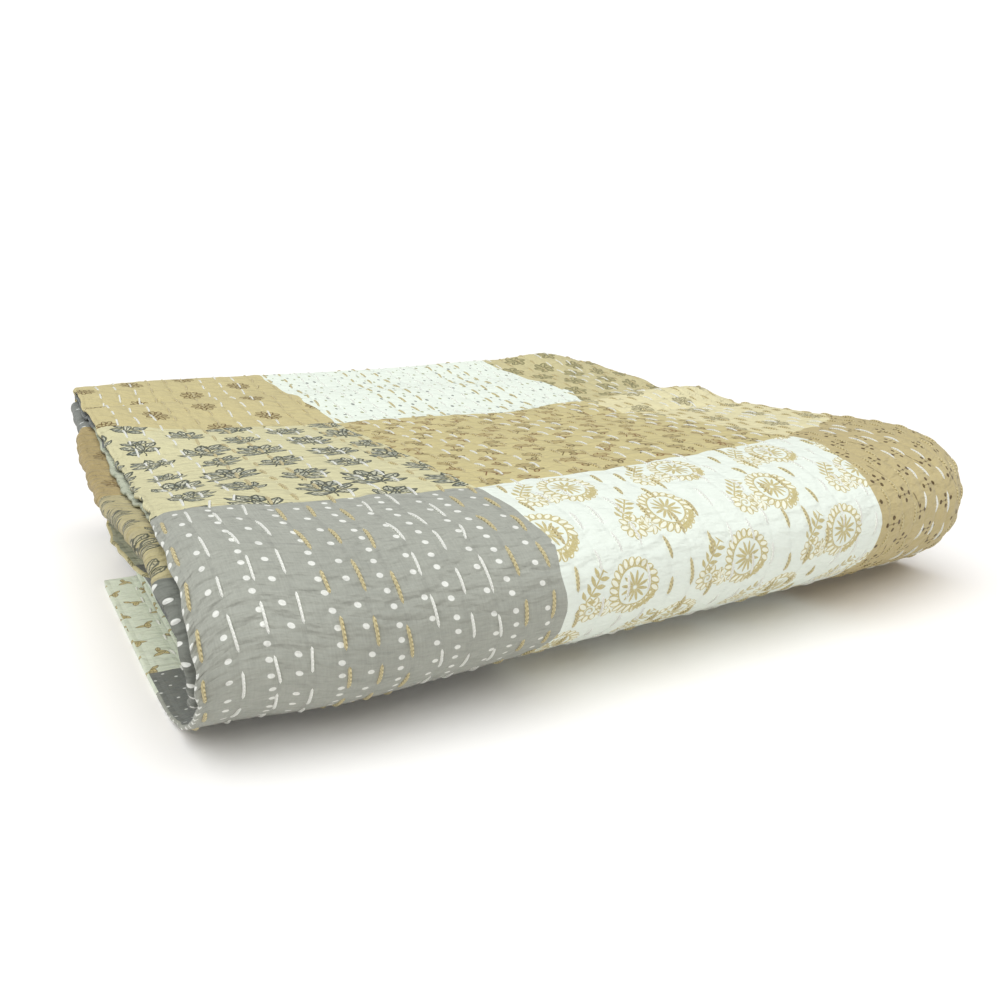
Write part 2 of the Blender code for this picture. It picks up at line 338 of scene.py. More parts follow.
def strayed(u, v):
    """Where on the cloth the lines named u and v lie."""
    across, along = np.zeros(np.broadcast(u, v).shape), np.zeros(np.broadcast(u, v).shape)
    for stray in STRAYS:
        near = np.exp(-(((u - stray.u) / stray.reach_u) ** 2) - ((v - stray.v) / stray.reach_v) ** 2)
        across += stray.across * near
        along += stray.along * near
    across += SEAM_WANDER * (np.sin(v * 97.0 + 2.0 * np.sin(v * 31.0)) + np.sin(u * 23.0 + v * 211.0) * 0.5)
    along += SEAM_WANDER * (np.sin(u * 89.0 + 2.0 * np.sin(u * 37.0)) + np.sin(v * 19.0 + u * 197.0) * 0.5)
    across *= eased(np.minimum(u, QUILT_WIDTH - u) / ENDS_HELD)
    along *= eased(np.minimum(v, lines_v[-1] - v) / ENDS_HELD)
    return u + across, v + along


# The stitches pucker the edges at the left end a little, by about this much. The flap's hem lies flat.
PUCKER = 0.0005
PUCKER_REACH = 0.008
PUCKER_GROWS_OVER = 0.05
STITCH_PITCH = 0.024

# Across the cloth: hem layer, right fold, lowest layer, left fold, third layer, inner right fold and second
# layer.
FOLD_STEPS = 8
INNER_FOLD_STEPS = 6
INNER_FOLD_CLOTH = 0.001
FOLD_REACH = 0.018
FOLD_RISE, FOLD_PUFF = 0.15, 0.35
DRAWN_MOST_U = 0.17
LINES_A_THREAD_ROW = 3
CLEAR_OF_SEAM = 0.001
SHARES_OF_LAYER = (0.0, 0.02, 0.08, 0.16, 0.26, 0.38, 0.50, 0.62, 0.74, 0.84, 0.92, 0.955, 0.985, 1.0)

column_seams = [SIDE_STRIP + PATCH * i for i in range(math.ceil((QUILT_WIDTH - SIDE_STRIP) / PATCH))]
hem_rows = (OUTER_FOLD_X - CLEAR_OF_SEAM - FIRST_THREAD) / THREAD_SPACING
hem_line_count = math.ceil(LINES_A_THREAD_ROW * hem_rows)
hem_lines = [FIRST_THREAD + THREAD_SPACING * i / LINES_A_THREAD_ROW for i in range(hem_line_count)]
hem_lines = [u for u in hem_lines if min(abs(u - seam) for seam in column_seams) > CLEAR_OF_SEAM]
hem_lines = np.array(sorted(hem_lines + [0.0, OUTER_FOLD_X] + column_seams[:2]))


def with_seams(start_u, length):
    """The shares of a folded layer's width at which it has lines, seams included."""
    seams = [(u - start_u) / length for u in column_seams]
    seams = [share for share in seams if 0.005 < share < 0.995]
    kept = [share for share in SHARES_OF_LAYER if all(abs(share - seam) > 0.012 for seam in seams)]
    return np.array(sorted(kept + seams))


def fold_angles(count):
    """The angles of a fold's inner lines, half a turn in all."""
    return np.array([math.pi * i / count for i in range(1, count)])


right_fold_length = math.pi * LAYER_PITCH * (HEM_LAYER - LOWEST_LAYER) / 2
lowest_start = OUTER_FOLD_X + right_fold_length
lowest_lines = with_seams(lowest_start, OUTER_FOLD_X)
left_fold_start = lowest_start + OUTER_FOLD_X
left_fold_length = math.pi * LAYER_PITCH * (THIRD_LAYER - LOWEST_LAYER) / 2
third_start = left_fold_start + left_fold_length
inner_x = (QUILT_WIDTH - third_start) / 2
third_lines = with_seams(third_start, inner_x)
second_start = third_start + inner_x
second_lines = with_seams(second_start, QUILT_WIDTH - second_start)

lines_u = np.concatenate((
    hem_lines,
    OUTER_FOLD_X + right_fold_length * fold_angles(FOLD_STEPS) / math.pi,
    lowest_start + OUTER_FOLD_X * lowest_lines,
    left_fold_start + left_fold_length * fold_angles(FOLD_STEPS) / math.pi,
    third_start + inner_x * third_lines,
    second_start + INNER_FOLD_CLOTH * fold_angles(INNER_FOLD_STEPS) / math.pi,
    second_start + INNER_FOLD_CLOTH + (QUILT_WIDTH - second_start - INNER_FOLD_CLOTH) * second_lines,
))


def folded_across(v, hem_u):
    """The cloth's route across its width on one line of it, as x and layer. hem_u is the hem layer's."""
    hem, second_hem, fold_x, puff, drawn, _ = between(SIDES, places_for(v, 0.0))
    pucker = PUCKER * eased((v - shown_start) / PUCKER_GROWS_OVER)
    second_hem = second_hem + pucker * (math.sin(v * 231.0) + math.sin(v * 117.0 + 1.0))
    fold_x = fold_x + pucker * (math.sin(v * 139.0) + math.sin(v * 311.0 + 2.0))
    right = OUTER_FOLD_X + between(SIDES, places_for(v, OUTER_FOLD_X))[-1]
    spans = (HEM_LAYER - LOWEST_LAYER) + (THIRD_LAYER - LOWEST_LAYER) + (SECOND_LAYER - THIRD_LAYER)
    used = (right - hem) + (right - fold_x) + math.pi * LAYER_PITCH * spans / 2
    inner = min((QUILT_WIDTH - used + fold_x + second_hem) / 2, right - INNER_FOLD_CLEAR)
    middle = (LOWEST_LAYER + THIRD_LAYER) / 2 + FOLD_RISE * puff
    radius = (THIRD_LAYER - LOWEST_LAYER) / 2 + FOLD_PUFF * puff

    def fold(x, start, end, outward, count):
        """A half round from one layer to another, at an x it bulges from."""
        angles = fold_angles(count)
        swing = abs(start - end) / 2 * LAYER_PITCH * outward
        return x + swing * np.sin(angles), (start + end) / 2 + (start - end) / 2 * np.cos(angles)

    def near_fold(x):
        """How far the left fold's puff lifts a layer there."""
        return 1.0 - eased((x - fold_x) / FOLD_REACH)

    hem_x = hem + (right - hem) * hem_u / OUTER_FOLD_X
    hem_x -= drawn * hem_u / DRAWN_MOST_U * np.exp(1 - hem_u / DRAWN_MOST_U)
    along_hem = math.sin(v * 2 * math.pi / STITCH_PITCH) + math.sin(v * 173.0)
    hem_x += pucker * along_hem * np.exp(-hem_u / PUCKER_REACH)
    lowest_x = right + (fold_x - right) * lowest_lines
    third_x = fold_x + (inner - fold_x) * third_lines
    second_x = inner + (second_hem - inner) * second_lines
    stretches = (
        (hem_x, np.full(len(hem_u), HEM_LAYER)),
        fold(right, HEM_LAYER, LOWEST_LAYER, 1, FOLD_STEPS),
        (lowest_x, LOWEST_LAYER + (middle - radius - LOWEST_LAYER) * near_fold(lowest_x)),
        fold(fold_x, middle - radius, middle + radius, -1, FOLD_STEPS),
        (third_x, THIRD_LAYER + (middle + radius - THIRD_LAYER) * near_fold(third_x)),
        fold(inner, THIRD_LAYER, SECOND_LAYER, 1, INNER_FOLD_STEPS),
        (second_x, np.full(len(second_lines), SECOND_LAYER)),
    )
    return [np.concatenate(values) for values in zip(*stretches)]


middle_surface = np.empty((len(lines_v), len(lines_u), 3))
grid_u, grid_v = np.empty(middle_surface.shape[:2]), np.empty(middle_surface.shape[:2])
for row, v in enumerate(lines_v):
    row_u, row_v = strayed(lines_u, v)
    across_x, across_depth = folded_across(v, row_u[:len(hem_lines)])
    row_places = places_for(slipped(row_v, row_u), across_x)
    middle_surface[row] = points_at(row_places, across_depth, across_x, INSIDE_END_Y)
    grid_u[row], grid_v[row] = row_u, row_v


def face_normals(surface):
    """Unit normals of a grid of points, towards the front face of the cloth."""
    along = np.gradient(surface, axis=0)
    across = np.gradient(surface, axis=1)
    normals = np.cross(across, along)
    return normals / np.linalg.norm(normals, axis=-1, keepdims=True)


normals = face_normals(middle_surface)


# The cloth is drawn in along every row of thread and puffs between them, unevenly.
THREAD_DIP = 0.00055
WANDER = 0.00030


def waves(u, v, seed, wavelengths):
    """A smooth uneven field between about -1 and 1."""
    draw = np.random.default_rng(seed)
    field = np.zeros_like(u)
    for wavelength in wavelengths:
        for _ in range(4):
            heading, phase = draw.uniform(0, 2 * math.pi, 2)
            turn = (u * math.cos(heading) + v * math.sin(heading)) * 2 * math.pi / wavelength
            field += np.sin(turn + phase)
    return field / (2.0 * math.sqrt(len(wavelengths) * 2.0))


def puffed(u, v, seed):
    """How far a face of the cloth stands out or is drawn in."""
    across = np.cos(2 * math.pi * (u - FIRST_THREAD) / THREAD_SPACING)
    uneven = 0.7 + 0.5 * waves(u, v, seed, (0.021, 0.034, 0.055))
    dip = -THREAD_DIP * (0.5 + 0.5 * across) * uneven
    return dip + WANDER * waves(u, v, seed + 1, (0.012, 0.019, 0.040))


RIM_TURNS = (50, 0, -50)
RIM_NUDGE = 0.0001
half = CLOTH_THICKNESS / 2
front_face = middle_surface + normals * (half + puffed(grid_u, grid_v, 11))[..., None]
back_face = middle_surface - normals * (half + puffed(grid_u, grid_v, 23))[..., None]


def rim_of(grid):
    """The rim of a grid, once round."""
    return np.concatenate((grid[:-1, 0], grid[-1, :-1], grid[:0:-1, -1], grid[0, :0:-1]))


inwards = np.zeros_like(middle_surface)
inwards[:, 0] = middle_surface[:, 1] - middle_surface[:, 0]
inwards[:, -1] = middle_surface[:, -2] - middle_surface[:, -1]
inwards[0] += middle_surface[1] - middle_surface[0]
inwards[-1] += middle_surface[-2] - middle_surface[-1]
rim_middle = rim_of(middle_surface)
rim_normal = rim_of(normals)
rim_out = -rim_of(inwards)
rim_out /= np.linalg.norm(rim_out, axis=1, keepdims=True)
rim_loops = [
    rim_middle + half * (rim_out * math.cos(turn) + rim_normal * math.sin(turn))
    for turn in np.radians(RIM_TURNS)
]

rows, columns = grid_u.shape
corner_index = np.arange(rows * columns).reshape(rows, columns)
points = np.concatenate((front_face.reshape(-1, 3), back_face.reshape(-1, 3), *rim_loops))
points[:, 2] = np.maximum(points[:, 2], 0.0)


def quads(a, b, c, d):
    """Four-sided faces from the numbers of their corners."""
    return np.stack((a.ravel(), b.ravel(), c.ravel(), d.ravel()), axis=1)


def quads_of(grid):
    """The faces of a grid of corners."""
    return quads(grid[:-1, :-1], grid[:-1, 1:], grid[1:, 1:], grid[1:, :-1])


front_quads = quads_of(corner_index)
back_quads = (quads_of(corner_index) + rows * columns)[:, ::-1]
rim_front = rim_of(corner_index)
rim_count = len(rim_front)
loops = [rim_front]
loops += [2 * rows * columns + rim_count * i + np.arange(rim_count) for i in range(len(RIM_TURNS))]
loops += [rim_front + rows * columns]
rim_quads = np.concatenate([
    quads(a, b, np.roll(b, -1), np.roll(a, -1)) for a, b in zip(loops, loops[1:])
])[:, ::-1]
all_quads = np.concatenate((front_quads, back_quads, rim_quads))


def placed(name, data):
    """A new object in the scene."""
    thing = bpy.data.objects.new(name, data)
    bpy.context.scene.collection.objects.link(thing)
    return thing


quilt_mesh = bpy.data.meshes.new("quilt_cloth")
quilt_mesh.from_pydata(points.tolist(), [], all_quads.tolist())
quilt_mesh.shade_smooth()
quilt = placed("kantha_quilt", quilt_mesh)


def map_cloth(name, front_map, back_map, rim_maps):
    """Give the cloth a UV map, from a map of each face and one of each loop of the rim."""
    rim_corners = np.concatenate([
        np.stack((a, b, np.roll(b, -1, axis=0), np.roll(a, -1, axis=0)), axis=1)
        for a, b in zip(rim_maps, rim_maps[1:])
    ])[:, ::-1]
    face_map = np.concatenate((front_map.reshape(-1, 2), back_map.reshape(-1, 2)))
    face_corners = face_map[np.concatenate((front_quads, back_quads)).ravel()]
    layer = quilt_mesh.uv_layers.new(name=name)
    layer.data.foreach_set("uv", np.concatenate((face_corners, rim_corners.reshape(-1, 2))).ravel())


# The first map is the flat cloth itself in metres. Over the rim it runs on outwards, as the turned-in cloth
# does.
flat_cloth = np.stack((grid_u, grid_v), axis=-1)
rim_flat = rim_of(flat_cloth)
cloth_ends = np.array((QUILT_WIDTH, lines_v[-1]))
rim_away = rim_flat - rim_of(np.clip(flat_cloth, RIM_NUDGE, cloth_ends - RIM_NUDGE))
rim_away /= np.linalg.norm(rim_away, axis=1, keepdims=True)
around_rim = [half * math.radians(90 - turn) for turn in (90, *RIM_TURNS, -90)]
map_cloth("cloth", flat_cloth, flat_cloth, [rim_flat + rim_away * reach for reach in around_rim])

# The second map lays both faces apart in one square for baked colours, the front on the left. The parts
# that show get the most room. Each row is a place on the cloth and its share of the room.
ROOM_ACROSS = ((0.0, 0.0), (0.585, 0.66), (1.10, 0.71), (1.20, 0.84), (QUILT_WIDTH, 1.0))
ROOM_ALONG = ((0.0, 0.0), (0.20, 0.05), (0.96, 0.91), (lines_v[-1], 1.0))
REVERSE_ROOM_ACROSS = ((0.0, 0.0), (0.18, 0.45), (QUILT_WIDTH - 0.10, 0.60), (QUILT_WIDTH, 1.0))
REVERSE_ROOM_ALONG = ((0.0, 0.0), (0.45, 0.50), (0.95, 0.80), (lines_v[-1], 1.0))
FRONT_ROOM = (0.010, 0.850)
REVERSE_ROOM = (0.862, 0.998)
RIM_ROOM = 0.008
ROOM_MARGIN = 0.010


def given_room(across, along, span):
    """A face's map, given the room it has across the square and its shares of it."""
    share_u = np.interp(lines_u, *np.array(across).T)
    share_v = np.interp(lines_v, *np.array(along).T)
    x = span[0] + (span[1] - span[0]) * share_u
    y = ROOM_MARGIN + (1 - 2 * ROOM_MARGIN) * share_v
    return np.stack(np.meshgrid(x, y), axis=-1)


front_room = given_room(ROOM_ACROSS, ROOM_ALONG, FRONT_ROOM)
reverse_room = given_room(REVERSE_ROOM_ACROSS, REVERSE_ROOM_ALONG, REVERSE_ROOM)
rim_room = [rim_of(front_room) + rim_away * (RIM_ROOM * share) for share in np.linspace(0, 1, len(loops))]
map_cloth("OFBake", front_room, reverse_room, rim_room)
quilt_mesh.uv_layers.active = quilt_mesh.uv_layers["cloth"]


# The patches. Each face of the quilt is pieced from squares of several printed cottons, in rows along the
# quilt's length. One letter is one patch: g dots on grey, w gold medallions on white, c dot clusters on
# tan, l slate leaves on cream, b small blossoms on tan, p outlined flowers on pale tan, s sparse flowers on
# tan, k specks on white, d green flowers on tan, m spotted mint, v small birds on white, q dark grey, h
# plain grey, and a, o and e the grey dots, sparse flowers and leaves again on grounds darkened as painted
# shade, for the fold at the left end, which lies in shadow.
FRONT_PATCHES = (
    "vdgklbsgwvc",
    "gwcpgswdkms",
    "lbpklgbpwms",
    "skdwgcskghl",
    "bpgslwcgpkd",
    "dlwbgkplscw",
    "ckslpdbwglb",
    "wghqkcslpwg",
    "pslcwgdkbsc",
    "kdwglpcbsdl",
    "gcbpsklwdgp",
    "sgkwdbpclks",
)
# At the left fold, a, e and o are darkened grounds and q a dark grey patch, put there as painted shade where
# the fold and the corner above it lie in shadow.
FOLD_PATCHES = "kaeoqwbhhlsdk"
REVERSE_PATCHES = (
    "vmhqmhvmqhm",
    "qhmvhqmvhmv",
    "mqvhmvhqmmm",
    "hvmqvhmqvhh",
    "mhqvmqvmhqv",
    "mmvhqmhvqmh",
    "hqhmvhqmvhq",
    "qmvqhvmhqvm",
    "hvqmhmqvmhv",
    "mhmvqhvqhmq",
    "vqhmvqmhvqh",
    "qvmhqvhmqvm",
)
FABRICS = "gwclbpskdmvqhaoe"


def patch_of(u, v, row_seams, table):
    """The letters of the patches at places on the cloth."""
    column = np.searchsorted(column_seams, u)
    row = np.searchsorted(row_seams, v)
    letters = np.array([list(line) for line in table])
    return letters[np.minimum(row, len(table) - 1), np.minimum(column, letters.shape[1] - 1)]


cell_u = (lines_u[:-1] + lines_u[1:]) / 2
cell_v = (lines_v[:-1] + lines_v[1:]) / 2
patch_v, patch_u = np.meshgrid(cell_v, cell_u, indexing="ij")
front_letters = patch_of(patch_u, patch_v, front_seams, FRONT_PATCHES)
on_fold = np.searchsorted(column_seams, cell_u) == FOLD_COLUMN
front_letters[:, on_fold] = np.array(list(FOLD_PATCHES))[np.searchsorted(FOLD_SEAMS, cell_v)][:, None]
reverse_letters = patch_of(patch_u, patch_v, REVERSE_SEAMS, REVERSE_PATCHES)
front_index = np.vectorize(FABRICS.index)(front_letters)
reverse_index = np.vectorize(FABRICS.index)(reverse_letters)
rim_sides = (front_index[:, 0], front_index[-1], front_index[::-1, -1], front_index[0, ::-1])
rim_index = [*rim_sides] * (len(loops) - 1)
material_index = np.concatenate([front_index.ravel(), reverse_index.ravel()] + rim_index)
quilt_mesh.polygons.foreach_set("material_index", material_index.astype(np.int32))


# The cottons. A print is drawn in millimetres on the cloth, repeat by repeat, as a printing block does it.
PRINT_EDGE = 0.28


class Field:
    """A number that changes over the cloth, as a node's output. Arithmetic on it adds nodes."""

    def __init__(self, tree, socket):
        self.tree = tree
        self.socket = socket

    def do(self, operation, *others, clamp=False):
        """The field that a Math node makes of this one and the others."""
        node = self.tree.nodes.new("ShaderNodeMath")
        node.operation = operation
        node.use_clamp = clamp
        for slot, value in zip(node.inputs, (self, *others)):
            if isinstance(value, Field):
                self.tree.links.new(value.socket, slot)
            else:
                slot.default_value = value
        return Field(self.tree, node.outputs[0])

    def __add__(self, other):
        return self.do("ADD", other)

    def __sub__(self, other):
        return self.do("SUBTRACT", other)

    def __mul__(self, other):
        return self.do("MULTIPLY", other)

    def __truediv__(self, other):
        return self.do("DIVIDE", other)

    def __mod__(self, other):
        return self.do("FLOORED_MODULO", other)

    def __abs__(self):
        return self.do("ABSOLUTE")

    __radd__ = __add__
    __rmul__ = __mul__

    def __rsub__(self, other):
        return (self * -1.0) + other

    def floor(self):
        return self.do("FLOOR")

    def sin(self):
        return self.do("SINE")

    def cos(self):
        return self.do("COSINE")

    def within(self):
        """1 where this is above nothing, with a printed edge."""
        return self.do("MULTIPLY_ADD", 1 / PRINT_EDGE, 0.5, clamp=True)

    def or_(self, *others):
        """The greatest of the fields: inked where any is."""
        result = self
        for other in others:
            result = result.do("MAXIMUM", other)
        return result

    def and_(self, *others):
        """The least of the fields: inked where all are."""
        result = self
        for other in others:
            result = result.do("MINIMUM", other)
        return result


def away(x, y):
    """Distance from the middle."""
    return (x * x + y * y).do("SQRT")


def turned(x, y, angle):
    """The same place in axes turned by an angle in radians."""
    cosine, sine = angle.cos(), angle.sin()
    return x * cosine + y * sine, y * cosine - x * sine


def make_group(name, inputs, outputs, draw):
    """A node group of numbers in and numbers out, as a function that puts one into a material."""
    tree = bpy.data.node_groups.new(name, "ShaderNodeTree")
    for label, value in inputs.items():
        socket = tree.interface.new_socket(label, in_out="INPUT", socket_type="NodeSocketFloat")
        socket.default_value = value
    for label in outputs:
        tree.interface.new_socket(label, in_out="OUTPUT", socket_type="NodeSocketFloat")
    start, end = tree.nodes.new("NodeGroupInput"), tree.nodes.new("NodeGroupOutput")
    results = draw(*[Field(tree, start.outputs[label]) for label in inputs])
    for label, result in zip(outputs, results):
        tree.links.new(result.socket, end.inputs[label])
    return partial(with_group, tree)


def with_group(group, *fields, **values):
    """A group's outputs in the tree of the fields given, which fill its first inputs in order."""
    tree = fields[0].tree
    node = tree.nodes.new("ShaderNodeGroup")
    node.node_tree = group
    for slot, field in zip(node.inputs, fields):
        tree.links.new(field.socket, slot)
    for label, value in values.items():
        slot = node.inputs[label.replace("_", " ").capitalize()]
        if isinstance(value, Field):
            tree.links.new(value.socket, slot)
        else:
            slot.default_value = value
    results = [Field(tree, output) for output in node.outputs]
    return results if len(results) > 1 else results[0]


def draw_repeat(u, v, pitch_across, pitch_along, stagger, start_across, start_along, unevenness, slant):
    """A place in its repeat of the block in millimetres, and the repeat's row and column."""
    across = u * 1000.0 - start_across
    along = v * 1000.0 - start_along + across * slant
    row = (along / pitch_along).floor()
    across = across + (row % 2.0) * stagger * pitch_across
    column = (across / pitch_across).floor()
    x = across - (column + 0.5) * pitch_across
    y = along - (row + 0.5) * pitch_along
    jump = row * 12.99 + column * 78.23
    x = x + jump.sin() * unevenness
    y = y + (jump * 1.7).sin() * unevenness
    return x, y, row, column


block_repeat = make_group(
    "block print repeat",
    {
        "U": 0.0, "V": 0.0, "Across": 40.0, "Along": 40.0, "Stagger": 0.5, "Start across": 0.0,
        "Start along": 0.0, "Unevenness": 0.4, "Slant": 0.0,
    },
    ("X", "Y", "Row", "Column"),
    draw_repeat,
)


# Every printed mark is placed by its own middle in the repeat.
PLACE = {"X": 0.0, "Y": 0.0, "Centre across": 0.0, "Centre along": 0.0}


def draw_dot(x, y, centre_across, centre_along, radius):
    """A round dot."""
    return [(radius - away(x - centre_across, y - centre_along)).within()]


printed_dot = make_group("printed dot", {**PLACE, "Radius": 1.0}, ("Ink",), draw_dot)


def draw_ring(x, y, centre_across, centre_along, radius, line):
    """A ring. line is half its line's width."""
    off = abs(away(x - centre_across, y - centre_along) - radius)
    return [(line - off).within()]


printed_ring = make_group("printed ring", {**PLACE, "Radius": 5.0, "Line": 0.4}, ("Ink",), draw_ring)


def draw_petals(x, y, centre_across, centre_along, count, inner, outer, width, swirl):
    """Petals round a middle, and how far inside their edges a place lies. width is half a petal's."""
    x, y = x - centre_across, y - centre_along
    r = away(x, y)
    turn = y.do("ARCTAN2", x) / (2 * math.pi) + r * swirl
    side = ((turn * count) % 1.0 - 0.5) / count * (2 * math.pi) * r
    share = ((r - inner) / (outer - inner)).do("ADD", 0.0, clamp=True)
    full = ((1.0 - share) * share * 4.0).do("POWER", 0.5)
    inside = full * width - abs(side) - (0.1 - full).do("MAXIMUM", 0.0) * 40.0
    return [(inside - PRINT_EDGE / 2).within(), inside]


printed_petals = make_group(
    "printed petals",
    {**PLACE, "Count": 8.0, "Inner": 1.0, "Outer": 10.0, "Width": 1.2, "Swirl": 0.0},
    ("Ink", "Inside"),
    draw_petals,
)


def draw_leaf(x, y, centre_across, centre_along, half_length, half_width, turn, line, vein):
    """A leaf with pointed ends: its whole shape, and its outline with the middle and side veins."""
    along, side = turned(x - centre_across, y - centre_along, turn * (math.pi / 180))
    share = along / half_length
    edge = (1.0 - share * share) * half_width - abs(side)
    off_vein = abs(((along + abs(side) * 1.2) / 3.4) % 1.0 - 0.5)
    veins = (vein / 2 - off_vein).do("MULTIPLY_ADD", 8.0, 0.5, clamp=True)
    outline = (line - abs(edge)).within()
    inside = edge.within()
    middle = (line * 0.6 - abs(side)).within()
    return inside, outline.or_(veins.or_(middle).and_(inside))


printed_leaf = make_group(
    "printed leaf",
    {**PLACE, "Half length": 6.0, "Half width": 2.5, "Turn": 90.0, "Line": 0.5, "Vein": 0.5},
    ("Fill", "Ink"),
    draw_leaf,
)


def linear(colour):
    """An sRGB colour of 0 to 255 as the shader wants it."""
    shares = [value / 255 for value in colour]
    return [s / 12.92 if s <= 0.04045 else ((s + 0.055) / 1.055) ** 2.4 for s in shares] + [1.0]


def mixed(tree, share, low, high):
    """One colour over another. share is a field, and a colour is a socket or an sRGB triple."""
    node = tree.nodes.new("ShaderNodeMix")
    node.data_type = "RGBA"
    tree.links.new(share.socket, node.inputs["Factor"])
    for slot, colour in ((node.inputs[6], low), (node.inputs[7], high)):
        if isinstance(colour, tuple):
            slot.default_value = linear(colour)
        else:
            tree.links.new(colour, slot)
    return node.outputs[2]


def noise(tree, u, v, across, along, detail=2.0):
    """A noise of 0 to 1 on the cloth, with its grain's size in millimetres each way."""
    joined = tree.nodes.new("ShaderNodeCombineXYZ")
    tree.links.new((u * (1000.0 / across)).socket, joined.inputs[0])
    tree.links.new((v * (1000.0 / along)).socket, joined.inputs[1])
    node = tree.nodes.new("ShaderNodeTexNoise")
    node.noise_dimensions = "2D"
    node.inputs["Scale"].default_value = 1.0
    node.inputs["Detail"].default_value = detail
    node.inputs["Roughness"].default_value = 0.5
    tree.links.new(joined.outputs[0], node.inputs["Vector"])
    return Field(tree, node.outputs["Fac"])


def draw_cotton(u, v, slub, wrinkle):
    """Slubs in the yarn, painted shade along the rows of thread and in the crumples, wrinkles in metres
    drawn in by the rows of thread, and worn ink.
    """
    tree = u.tree
    warp = noise(tree, u, v, 0.8, 9.0)
    weft = noise(tree, u, v, 9.0, 0.8)
    grain = noise(tree, u, v, 0.9, 1.6)
    broad = noise(tree, u, v, 45.0, 60.0)
    pulled = noise(tree, u, v, 16.0, 7.0)
    crumple = noise(tree, u, v, 9.0, 4.5, detail=3.0)
    fold = 1.0 - abs(noise(tree, u, v, 42.0, 15.0, detail=1.0) - 0.5) * 5.5
    crease = fold.do("MAXIMUM", 0.0)
    across_rows = (u - FIRST_THREAD) / THREAD_SPACING
    from_row = abs(across_rows % 1.0 - 0.5)
    drawn_in = ((from_row - 0.34) * 6.5).do("MAXIMUM", 0.0)
    # The shade is the yarn's own uneven tone with painted shade on top: darker along the rows, where the
    # cloth is drawn in, and in the crumples' hollows, where the same noise lowers the cloth.
    shade = (warp + weft - 1.0) * slub + (grain - 0.5) * (slub * 0.5) + (broad - 0.5) * (slub * 0.6)
    shade = shade + (crumple - 0.5) * (slub * 0.4) - drawn_in * 0.02 + 1.0
    height = (crumple - 0.5) * wrinkle + (pulled - 0.5) * (wrinkle * 2.2)
    height = height - crease * crease * (wrinkle * 0.35)
    height = height - drawn_in * (wrinkle * 0.35) + (warp + weft) * 0.00004
    ink = (noise(tree, u, v, 1.1, 1.1) * 1.3 + 0.36).do("ADD", 0.0, clamp=True)
    return shade, height, ink


cotton_cloth = make_group(
    "cotton cloth",
    {"U": 0.0, "V": 0.0, "Slub": 0.16, "Wrinkle": 0.0012},
    ("Shade", "Height", "Ink"),
    draw_cotton,
)


def new_material(name, settings):
    """A material whose shader has the settings given, with its node tree and its shader."""
    material = bpy.data.materials.new(name)
    material.use_nodes = True
    shader = material.node_tree.nodes["Principled BSDF"]
    for label, value in settings.items():
        shader.inputs[label].default_value = value
    return material, material.node_tree, shader


def raised(tree, shader, height):
    """Give a shader's surface a height in metres."""
    bump = tree.nodes.new("ShaderNodeBump")
    bump.inputs["Distance"].default_value = 1.0
    tree.links.new(height.socket, bump.inputs["Height"])
    tree.links.new(bump.outputs[0], shader.inputs["Normal"])


WASHED_COTTON = {"Roughness": 0.86, "Sheen Weight": 0.12, "Sheen Roughness": 0.6, "Specular IOR Level": 0.25}


def cotton(name, ground, draw=None, slub=0.16, wrinkle=0.0012):
    """A printed cotton. draw(tree, u, v, ink, colour) lays the print over the ground."""
    material, tree, shader = new_material(name, WASHED_COTTON)
    place = tree.nodes.new("ShaderNodeUVMap")
    place.uv_map = "cloth"
    parts = tree.nodes.new("ShaderNodeSeparateXYZ")
    tree.links.new(place.outputs[0], parts.inputs[0])
    u, v = Field(tree, parts.outputs[0]), Field(tree, parts.outputs[1])
    shade, height, ink = cotton_cloth(u, v, slub=slub, wrinkle=wrinkle)
    solid = tree.nodes.new("ShaderNodeRGB")
    solid.outputs[0].default_value = linear(ground)
    colour = solid.outputs[0]
    if draw:
        colour = draw(tree, u, v, ink, colour)
    # The ground times the shade: the yarn's own tone with painted shade along the rows and in the crumples.
    toned_and_shaded = tree.nodes.new("ShaderNodeVectorMath")
    toned_and_shaded.operation = "SCALE"
    tree.links.new(colour, toned_and_shaded.inputs[0])
    tree.links.new(shade.socket, toned_and_shaded.inputs["Scale"])
    tree.links.new(toned_and_shaded.outputs[0], shader.inputs["Base Color"])
    raised(tree, shader, height)
    return material


def dots_on_grey(tree, u, v, ink, ground):
    x, y, row, _ = block_repeat(v, u, across=8.0, along=15.4, stagger=0.3, start_along=-9.0, unevenness=0.6)
    beside = (row * 2.6).sin() * 2.2
    dense = printed_dot(x * 1.12, (y + beside) * 0.95, radius=1.55)
    x, y, row, _ = block_repeat(v, u, across=11.5, along=15.4, stagger=0.2, start_along=-9.0, unevenness=0.9)
    sparse = printed_dot(x * 1.12, (y + beside) * 0.95, radius=1.55)
    odd = row % 2.0
    dots = (dense * (1.0 - odd)).or_(sparse * odd)
    return mixed(tree, dots * 0.94, ground, (232, 233, 226))


# The same dots, shifted, for a grey ground darkened as painted shade where the fold lies in shadow.
def dots_on_shaded_grey(tree, u, v, ink, ground):
    return dots_on_grey(tree, u + 0.0052, v, ink, ground)


